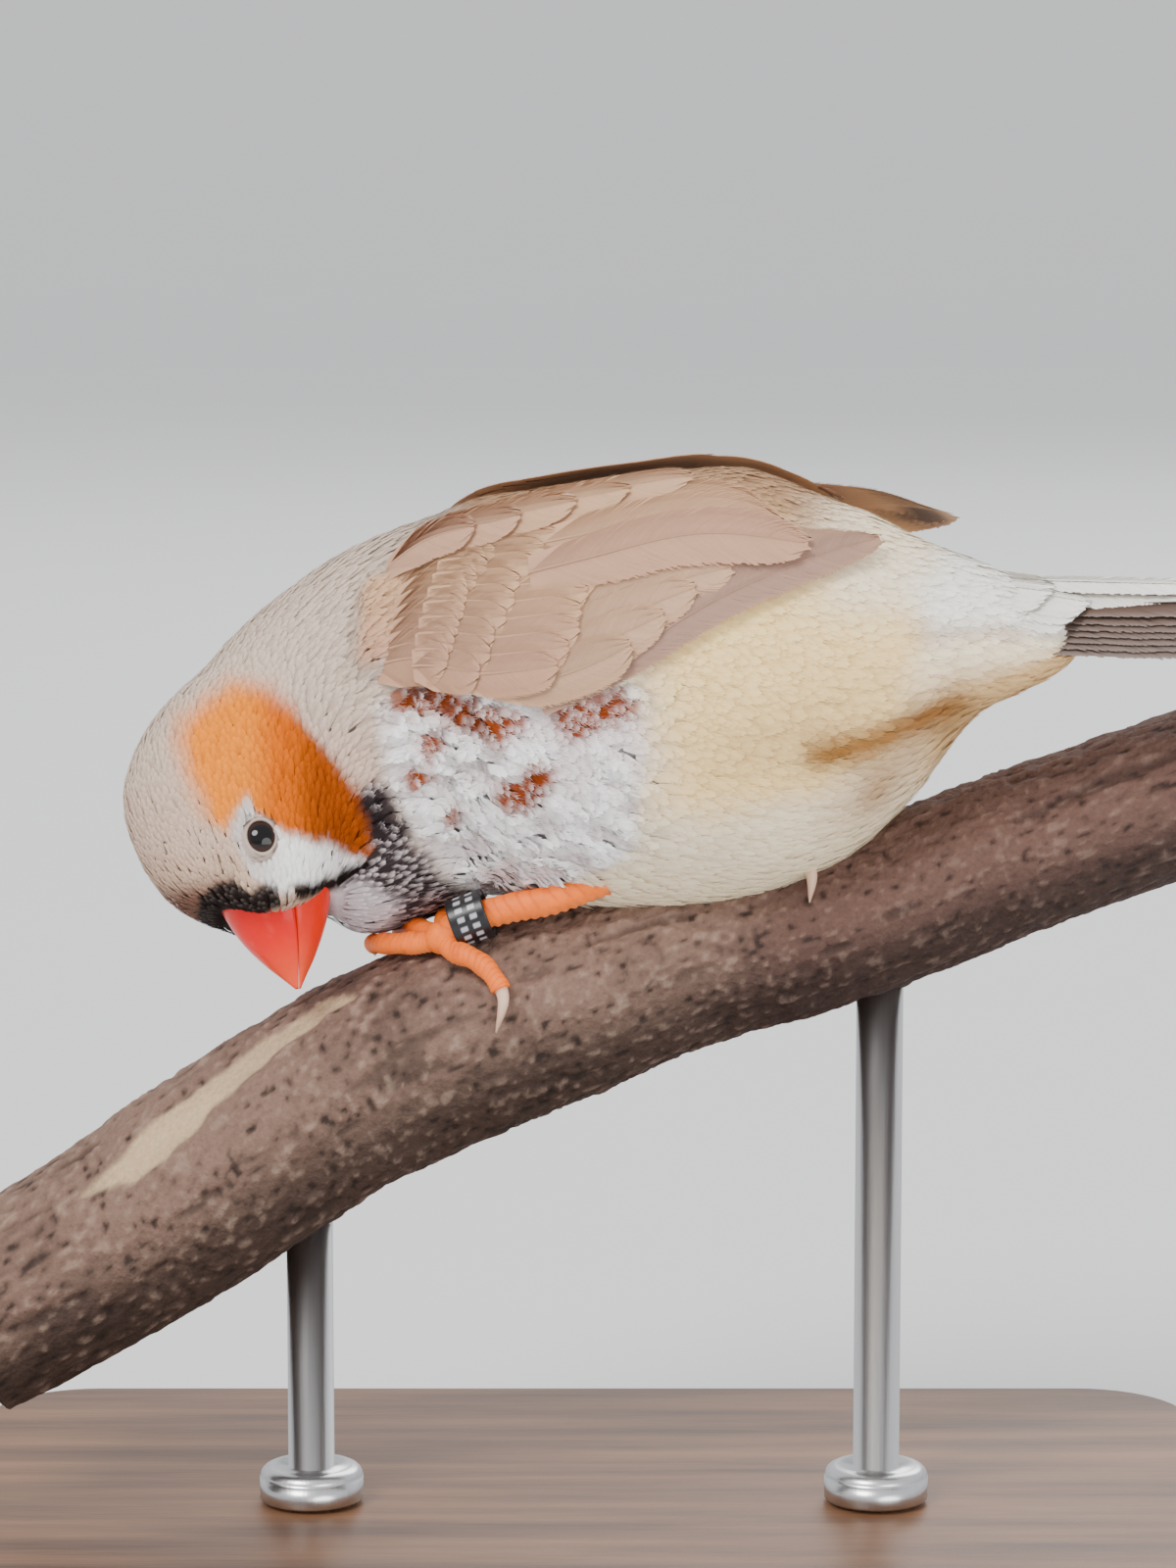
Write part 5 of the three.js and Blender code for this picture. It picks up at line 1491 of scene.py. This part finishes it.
def make_mandible(name, upper):
    steps, around, closing = 40, 36, 8
    t = np.linspace(0, 1, steps)
    forward, culmen, chin, width = np.moveaxis(row_at(BILL_SECTIONS, t), -1, 0)
    along = np.clip(forward / BILL_SECTIONS[-1][0], 0, 1)
    mouth = MOUTH_BASE + (MOUTH_TIP - MOUTH_BASE) * along - 0.25 * np.sin(math.pi * along)
    mouth = mouth + (MOUTH_GAP if upper else -MOUTH_GAP) / 2
    turn_at_mouth = np.arccos(np.clip(mouth / np.where(mouth > 0, culmen, chin), -0.999, 0.999))
    first, last = (-turn_at_mouth, turn_at_mouth) if upper else (turn_at_mouth, 2 * math.pi - turn_at_mouth)
    share = np.linspace(0, 1, around)
    turn = first[:, None] + (last - first)[:, None] * share
    cos, sin = np.cos(turn), np.sin(turn)
    height = np.where(cos > 0, culmen[:, None], chin[:, None])
    up = cos * height
    side = sin * width[:, None] * (1 if upper else 0.965)
    back = np.broadcast_to(-forward[:, None], up.shape)
    outer = head_at(back, up, side)
    f = np.linspace(0, 1, closing + 2)[1:-1]
    inner = outer[:, -1:] + (outer[:, :1] - outer[:, -1:]) * f[None, :, None]
    rows = np.concatenate([outer, inner], 1)
    points, faces = closed_rows(rows)
    at_back, at_up, _ = head_place(points)
    ahead = np.clip(-at_back / BILL_SECTIONS[-1][0], 0, 1)
    tint = np.broadcast_to(BILL_RED if upper else BILL_ORANGE, points.shape)
    tint = mix(tint, BILL_TIP, 0.75 * ramp(ahead, 0.45, 1.0))
    if upper:
        # Painted highlight: the upper mandible is paler along the top of its culmen near the base.
        tint = mix(tint, BILL_PALE_WEAR_AND_HIGHLIGHT, 0.55 * ramp(at_up, 3.6, 5.2) * ramp(-ahead, -0.55, -0.1))
    # Pale specks of wear.
    worn = ramp(noise(points, (0.5, 0.5, 1.4), 31), 0.45, 0.8)
    tint = mix(tint, BILL_PALE_WEAR_AND_HIGHLIGHT, 0.3 * worn)
    piece = make_object(name, points, faces, tint)
    return finish_piece(piece, HORN, name, name)


# Eyes and lids.
EYE_BROWN = colour(46, 24, 14)
EYE_BLACK = colour(8, 5, 5)
LID_PALE = colour(186, 168, 156)
LID_DARK = colour(112, 92, 84)
LID_WIDTH = 0.8


def eye_ring(sign, side_name):
    inward = math.sqrt(EYE_RADIUS**2 - EYE_SEEN**2)
    centre_side = EYE_SIDE - inward
    polar = np.linspace(0, math.pi, 40)
    turn = np.arange(64) / 64 * 2 * math.pi
    a, b = np.meshgrid(polar[1:-1], turn, indexing="ij")
    ball = head_at(
        EYE_BACK + EYE_RADIUS * np.sin(a) * np.cos(b),
        EYE_UP + EYE_RADIUS * np.sin(a) * np.sin(b),
        sign * (centre_side + EYE_RADIUS * np.cos(a)),
    )
    points, faces = closed_rows(ball)
    centre = head_at(EYE_BACK, EYE_UP, sign * centre_side)
    out = (points - centre) @ HEAD_LEFT * sign / EYE_RADIUS
    tint = mix(np.broadcast_to(EYE_BROWN, points.shape), EYE_BLACK, ramp(out, 0.86, 0.93))
    finish_piece(make_object(f"eyeball_{side_name}", points, faces, tint), WET_EYE, "eye", f"eye_{side_name}")

    reach = np.linspace(0, 1, 22)
    r, angle = np.meshgrid(reach, np.arange(96) / 96 * 2 * math.pi, indexing="ij")
    along = (EYE_OPENING[0] + LID_WIDTH * r) * np.cos(angle)
    across = (EYE_OPENING[1] + LID_WIDTH * r) * np.sin(angle)
    ball_side = centre_side + np.sqrt(np.maximum(0, EYE_RADIUS**2 - along**2 - across**2))
    lip = 0.16 * np.exp(-((r - 0.22) / 0.2) ** 2)
    around = np.stack([3 * np.cos(angle), 3 * np.sin(angle), 5 * r], -1)
    folds = 0.05 * noise(around, (1.1, 1.1, 0.7), 35) * ramp(r, 0.1, 0.4)
    fall = EYE_SIDE + 0.02 - 0.6 * ramp(r, 0.3, 1.1)
    side = np.where(r < 0.05, ball_side + 0.01, mix(ball_side + 0.06, fall, ramp(r, 0.0, 0.5)) + lip + folds)
    points = head_at(EYE_BACK + along, EYE_UP + across, sign * side).reshape(-1, 3)
    faces = grid_faces(len(reach), 96, True)
    if sign < 0:
        faces = faces[:, ::-1]
    # Painted shade: the lids' pale rim shows only on the raised parts of its folds, and stays dark in their
    # low parts.
    groove = ramp(folds, -0.04, 0.01).ravel()
    tint = mix(np.broadcast_to(LID_DARK, points.shape), LID_PALE, groove * ramp(r.ravel(), 0.02, 0.14))
    lids = make_object(f"lids_{side_name}", points, faces, tint)
    finish_piece(lids, LID, "plumage")


# Branch.
def branch_frame(t):
    x, z, radius = np.moveaxis(row_at(BRANCH_SECTIONS, t), -1, 0)
    step = 0.004
    ahead, behind = row_at(BRANCH_SECTIONS, t + step), row_at(BRANCH_SECTIONS, t - step)
    along = unit(np.stack([ahead[..., 0] - behind[..., 0], 0 * x, ahead[..., 1] - behind[..., 1]], -1))
    up = np.stack([-along[..., 2], 0 * x, along[..., 0]], -1)
    return np.stack([x, BRANCH_Y + 0 * x, z], -1), up, radius


def branch_point(t, turn, lift):
    centre, up, radius = branch_frame(t)
    reach = radius + lift
    sideways = np.stack([0 * reach, reach * np.sin(turn), 0 * reach], -1)
    return centre + up * (reach * np.cos(turn))[..., None] + sideways


def bark_point(x, degrees, lift):
    """A point on or over the bark: its x, its turn in degrees from the top (minus is nearer), and lift."""
    low, high = 0.0, 1.0
    turn = np.array(math.radians(degrees))
    for _ in range(30):
        t = np.array((low + high) / 2)
        if branch_point(t, turn, lift)[0] < x:
            low = float(t)
        else:
            high = float(t)
    return branch_point(np.array(low), turn, lift)


BARK_MID = colour(124, 98, 85)
BARK_PALE = colour(180, 154, 138)
BARK_LOW = colour(80, 60, 52)
BARK_RED = colour(98, 70, 62)
# Painted shade for the bark's pits and cracks, and beside the knot's scar.
BARK_PIT_SHADE = colour(36, 26, 22)
BARE_WOOD = colour(186, 160, 128)
# The bare patch on the near upper side: x and degrees from the top, minus towards the viewer.
BARE_OUTLINE = [
    (-43, -50), (-38, -62), (-33, -54), (-27, -42), (-19.6, -34), (-22, -24), (-29, -28), (-37, -34),
]
# A knot's scar: x, degrees from the top, and its half sizes along and around.
SCAR_X, SCAR_DEGREES, SCAR_LONG, SCAR_ROUND = 3.6, -76, 2.2, 13
# Length of the branch's middle line, the radius that its grain is laid out on, and how many millimetres the
# bark rises for each kind of unevenness.
BRANCH_LENGTH = 118
GRAIN_RADIUS = 8
LUMP_HEIGHT, GRAIN_HEIGHT, FIBRE_HEIGHT, CRACK_DEPTH, SCAR_HEIGHT = 0.3, 0.13, 0.1, 0.25, 0.18
BARE_DEPTH = 0.25


def make_branch():
    rows, columns = 430, 225
    t, turn = np.meshgrid(np.linspace(0, 1, rows), np.arange(columns) / columns * 2 * math.pi, indexing="ij")
    smooth = branch_point(t, turn, 0 * t)
    flat = smooth.reshape(-1, 3)
    round_it = (GRAIN_RADIUS * np.cos(turn).ravel(), GRAIN_RADIUS * np.sin(turn).ravel())
    around = np.stack([t.ravel() * BRANCH_LENGTH, *round_it], 1)
    lumps = layered_noise(around, (9.0, 5.0, 5.0), 44)
    grains = noise(around, (0.8, 0.55, 0.55), 49) + 0.6 * noise(around, (0.5, 0.4, 0.4), 50)
    fibre = layered_noise(around, (5.0, 0.9, 0.9), 41)
    cracks = ramp(noise(around, (7.0, 1.3, 1.3), 47), 0.5, 0.8)
    pits = ramp(-grains, 0.45, 1.0)
    rims = ramp(grains, 0.35, 0.9)
    degrees = np.degrees(np.where(turn > math.pi, turn - 2 * math.pi, turn)).ravel()
    bare = inside(flat[:, 0] + 0.5 * noise(flat, 1.5, 52), (degrees + 3 * noise(flat, 2, 53)) / 8,
                  [(x, angle / 8) for x, angle in BARE_OUTLINE], 0.25)
    scar = np.hypot((flat[:, 0] - SCAR_X) / SCAR_LONG, (degrees - SCAR_DEGREES) / SCAR_ROUND)
    scar_rim = np.exp(-(((scar - 1) / 0.16) ** 2))
    lift = LUMP_HEIGHT * lumps + GRAIN_HEIGHT * grains + FIBRE_HEIGHT * fibre
    lift = lift - CRACK_DEPTH * cracks + SCAR_HEIGHT * scar_rim
    lift = mix(lift, -BARE_DEPTH + 0.03 * fibre, bare)
    ends = ramp(np.abs(flat[:, 0]), 52.6, 53.4)
    points = branch_point(t, turn, lift.reshape(t.shape) * (1 - 0.5 * ends.reshape(t.shape)))
    corners, faces = closed_rows(points)
    tone = 0.55 + 0.3 * grains + 0.35 * layered_noise(around, (12, 8, 8), 55)
    tint = mix(np.broadcast_to(BARK_LOW, flat.shape), BARK_MID, ramp(tone, -0.1, 0.8))
    reddish = ramp(flat[:, 0] + 6 * noise(around, 9, 56), 2, 22)
    tint = mix(tint, BARK_RED, 0.75 * reddish)
    # Painted shade: the bark darkens towards its underside.
    below = ramp(np.abs(degrees), 75, 125)
    tint = tint * (1 - 0.7 * below)[:, None]
    # Painted shade: the bark's pits and cracks are darkened nearly to black.
    tint = mix(tint, BARK_PIT_SHADE, 0.85 * np.maximum(pits, 0.6 * cracks))
    tint = mix(tint, BARK_PALE, 0.25 * rims * (1 - 0.4 * reddish))
    scar_shade = np.exp(-(((scar - 1.2) / 0.12) ** 2)) * ramp(flat[:, 0], SCAR_X - 1, SCAR_X + 1)
    tint = mix(tint, BARK_PIT_SHADE, 0.35 * scar_shade)
    tint = mix(tint, BARE_WOOD * (1 + 0.12 * fibre)[:, None], bare)
    tint = np.concatenate([tint, [BARE_WOOD * 0.7, BARE_WOOD * 0.7]])
    finish_piece(make_object("branch", corners, faces, tint), BARK, "bark", "perch")


# Legs.
LEG_ORANGE = colour(252, 122, 38)
LEG_DEEP = colour(214, 82, 24)
LEG_PALE = colour(250, 180, 128)
CLAW_PALE = colour(226, 190, 162)
CLAW_DARK = colour(150, 104, 84)


def scaled_limb(line, radius, up, plates, sides=28):
    """A limb with overlapping plates along its upper side, and small scales below."""
    s = np.linspace(0, 1, len(line))
    turn = np.arange(sides) / sides * 2 * math.pi
    top = np.clip(np.cos(turn), 0, 1) ** 0.5
    uneven = noise(np.stack([s * plates, 0 * s, 0 * s], -1), 1.0, 63)
    bend = 0.3 * np.cos(2 * turn)[None] + 0.35 * uneven[:, None]
    saw = (s[:, None] * plates + bend) % 1.0
    plate = (0.06 * (1 - saw) ** 0.7 - 0.035) * top[None]
    pads = 0.07 * np.sin(s * plates * 1.4 * 2 * math.pi)[:, None] * np.clip(-np.cos(turn), 0, 1)[None]
    reach = radius[:, None] * (1 + plate + pads)
    points, faces = tube(line, reach, up, sides)
    groove = (ramp(saw, 0.7, 0.95) + ramp(-saw, -0.12, 0.0)) * top[None]
    tint = mix(np.broadcast_to(LEG_ORANGE, reach.shape + (3,)), LEG_DEEP, 0.5 * groove)
    tint = mix(tint, LEG_PALE, 0.35 * np.clip(-np.cos(turn), 0, 1)[None] + 0 * groove)
    blotch = 0.5 * ramp(noise(points[:-2], 1.1, 64), 0.1, 0.7).reshape(reach.shape)
    tint = mix(tint, LEG_DEEP, blotch)
    tint = np.concatenate([tint.reshape(-1, 3), tint[0, :1], tint[-1, :1]])
    tint = tint * (1 + 0.1 * noise(points, 0.7, 61))[:, None]
    return points, faces, tint


def make_leg(name, leg):
    joint = bark_point(*leg["joint"])
    shank = smooth_line([joint] + [bark_point(*place) for place in leg["shank"]], SHANK_STEPS)
    parts = [scaled_limb(shank, np.full(SHANK_STEPS, SHANK_RADIUS * 0.96), (0, -0.4, 1), SHANK_PLATES)]
    ring = np.linspace(0, math.pi, 14)
    turn = np.arange(28) / 28 * 2 * math.pi
    a, b = np.meshgrid(ring[1:-1], turn, indexing="ij")
    ball = joint + JOINT_RADIUS * np.stack([np.sin(a) * np.cos(b), np.sin(a) * np.sin(b), np.cos(a)], -1)
    points, faces = closed_rows(ball[::-1])
    tint = np.broadcast_to(LEG_ORANGE, points.shape) * (1 + 0.1 * noise(points, 0.5, 62))[:, None]
    parts.append((points, faces, tint))
    for toe, places in leg["toes"].items():
        line = smooth_line([joint] + [bark_point(*place) for place in places], TOE_STEPS)
        count = round(TOE_STEPS * (CLAW_SHARE + 0.02))
        s = np.linspace(0, 1, count)
        away = line[0] - np.array([line[0][0], BRANCH_Y, line[0][2] - 8])
        radius = TOE_RADIUS * (1 - 0.2 * s + 0.05 * np.cos(s * 6 * math.pi)) * ramp(-s, -1.12, -0.97) ** 0.3
        parts.append(scaled_limb(line[:count], radius, away, TOE_PLATES))
        claw = line[round(TOE_STEPS * CLAW_SHARE) - 4:]
        f = np.linspace(0, 1, len(claw))
        points, faces = tube(claw, CLAW_RADIUS * 1.05 * (1 - 0.9 * f**1.6), away, 18)
        shade = mix(np.broadcast_to(CLAW_PALE, (len(claw), 3)), CLAW_DARK, 0.55 * ramp(f, 0.3, 1.0))
        tint = np.concatenate([np.repeat(shade, 18, axis=0), shade[:1], shade[-1:]])
        piece = make_object(f"claw_{name}_{toe}_horn", points, faces, tint)
        finish_piece(piece, CLAW, "claw", f"claw_{name}_{toe}")
    points, faces = joined([part[:2] for part in parts])
    piece = make_object(f"leg_{name}", points, faces, np.concatenate([part[2] for part in parts]))
    finish_piece(piece, LEG_SKIN, "leg_skin", f"shank_{name}", f"foot_{name}")
    return shank


def make_ring(line):
    """The closed ring on the left shank: black, with plain silver bars."""
    rows, sides = 24, 96
    middle = round(RING_ALONG * (len(line) - 1))
    way = unit(line[middle + 3] - line[middle - 3])
    centre = line[middle]
    half = RING_LENGTH / 2
    flat, shoulder = half - RING_ROUND, RING_OUTER - RING_ROUND
    bend = [(RING_ROUND * math.sin(a), RING_ROUND * math.cos(a)) for a in np.linspace(0, 1.57, 5)]
    profile = [(RING_INNER, -flat)]
    profile += [(shoulder + a, -flat - b) for a, b in bend]
    profile += [(RING_OUTER, y) for y in np.linspace(-half + 0.2, half - 0.2, rows)]
    profile += [(shoulder + b, flat + a) for a, b in bend]
    profile += [(RING_INNER, flat), (RING_INNER, -flat)]
    across = unit(np.cross(way, [0, 0, 1]))
    up = np.cross(across, way)
    turn = np.arange(sides) / sides * 2 * math.pi
    r, y = np.array(profile).T
    ring = across * np.cos(turn)[:, None] + up * np.sin(turn)[:, None]
    points = centre + way * y[:, None, None] + ring[None] * r[:, None, None]
    outer = (r > RING_OUTER - 0.01)[:, None]
    cell = (turn * RING_BARS / (2 * math.pi)) % 1.0
    in_row = np.abs(np.abs((y / half)[:, None]) - RING_BAR_PLACE) < RING_BAR_HALF
    in_bar = (np.abs(cell - 0.5) < RING_BAR_SHARE / 2)[None]
    silver = RING_BAR_STRENGTH * (outer & in_row & in_bar)
    tint = mix(np.broadcast_to(colour(*RING_BLACK), points.shape), colour(*RING_SILVER), silver)
    faces = grid_faces(len(profile), sides, True)
    piece = make_object("ring", points.reshape(-1, 3), faces, tint.reshape(-1, 3))
    finish_piece(piece, RING, "leg_ring", "leg_ring")


# Stand.
WOOD_DARK = colour(84, 56, 38)
WOOD_PALE = colour(140, 100, 70)
ROD_GREY = (0.62, 0.62, 0.63)


def make_stand():
    made, tree, shader = new_material("base_wood", roughness=0.42, specular_ior_level=0.4)
    grain = speckle(tree, 3.5, 6.0, (0.08, 1.0, 1.0))
    fine = speckle(tree, 0.5, 2.0, (0.12, 1.0, 1.0))
    ramp_node = add_node(tree, "ShaderNodeValToRGB", inputs={"Fac": grain})
    for stop, shade, position in zip(ramp_node.color_ramp.elements, (WOOD_DARK, WOOD_PALE), (0.3, 0.7)):
        stop.color = (*shade, 1)
        stop.position = position
    tint = shade_by(tree, ramp_node.outputs["Color"], level(tree, fine, 0.85, 1.12))
    tree.links.new(tint, shader.inputs["Base Color"])
    bump(tree, shader, fine, 0.03)
    half = np.array([BASE_LENGTH, BASE_WIDTH]) / 2
    corner_turn = np.linspace(0, math.pi / 2, 12)
    outline = []
    for quarter, (sx, sy) in enumerate([(1, 1), (-1, 1), (-1, -1), (1, -1)]):
        angles = corner_turn + quarter * math.pi / 2
        middle = np.array([sx, sy]) * (half - BASE_CORNER)
        outline += [(middle, np.array([math.cos(a), math.sin(a)])) for a in angles]
    edge = np.linspace(0, math.pi / 2, 6)
    reach, top = BASE_CORNER - BASE_BEVEL, BASE_HEIGHT - BASE_BEVEL
    rows = [(reach + BASE_BEVEL * math.sin(a), BASE_BEVEL * (1 - math.cos(a))) for a in edge]
    rows += [(reach + BASE_BEVEL * math.cos(a), top + BASE_BEVEL * math.sin(a)) for a in edge]
    points = np.array([[[*(middle + way * r), z] for middle, way in outline] for r, z in rows])
    corners, faces = closed_rows(points)
    piece = make_object("base", corners, faces)
    finish_piece(piece, made, "base_wood", "stand_base")
    steel, tree, shader = new_material("rod_steel", roughness=0.28, metallic=1.0)
    fine = speckle(tree, 0.2, 2.0, (1.0, 1.0, 0.03))
    tint = shade_by(tree, add_tint(tree, ROD_GREY), level(tree, fine, 0.9, 1.08))
    tree.links.new(tint, shader.inputs["Base Color"])
    bump(tree, shader, fine, 0.01)
    for name, x in ROD_PLACES.items():
        foot = BASE_HEIGHT + ROD_GAP
        bend = foot + COLLAR_HEIGHT - 1
        top = float(bark_point(x, 180, 0)[2]) + 1.0
        profile = [(COLLAR_RADIUS - 0.2, foot), (COLLAR_RADIUS, foot + 0.2), (COLLAR_RADIUS, bend)]
        profile += [(COLLAR_RADIUS - 1 + math.cos(a), bend + math.sin(a)) for a in edge]
        profile += [(ROD_RADIUS, foot + COLLAR_HEIGHT), (ROD_RADIUS, top)]
        turn = np.arange(48) / 48 * 2 * math.pi
        r, z = np.array(profile).T[..., None]
        points = np.stack([x + r * np.cos(turn), BRANCH_Y + r * np.sin(turn), z + 0 * turn], -1)
        corners, faces = closed_rows(points)
        piece = make_object(f"rod_{name}", corners, faces)
        finish_piece(piece, steel, "rod_steel", f"stand_rod_{name}")


make_camera()
make_lights()
make_floor()
skin = make_skin()
surface = Surface(skin)
inner, _ = plumage(surface.points)
# Painted shade: the skin under the coat takes the plumage's colours a little darker.
set_tints(skin.data, inner * 0.95)
finish_piece(skin, SKIN, "plumage", "head", "neck", "torso")
make_plumage(surface)
make_wings()
make_tail()
make_mandible("bill_upper", True)
make_mandible("bill_lower", False)
for sign, side_name in ((1, "left"), (-1, "right")):
    eye_ring(sign, side_name)
make_branch()
left_shank = make_leg("left", FEET["left"])
make_leg("right", FEET["right"])
make_ring(left_shank)
make_stand()

bpy.context.view_layer.update()
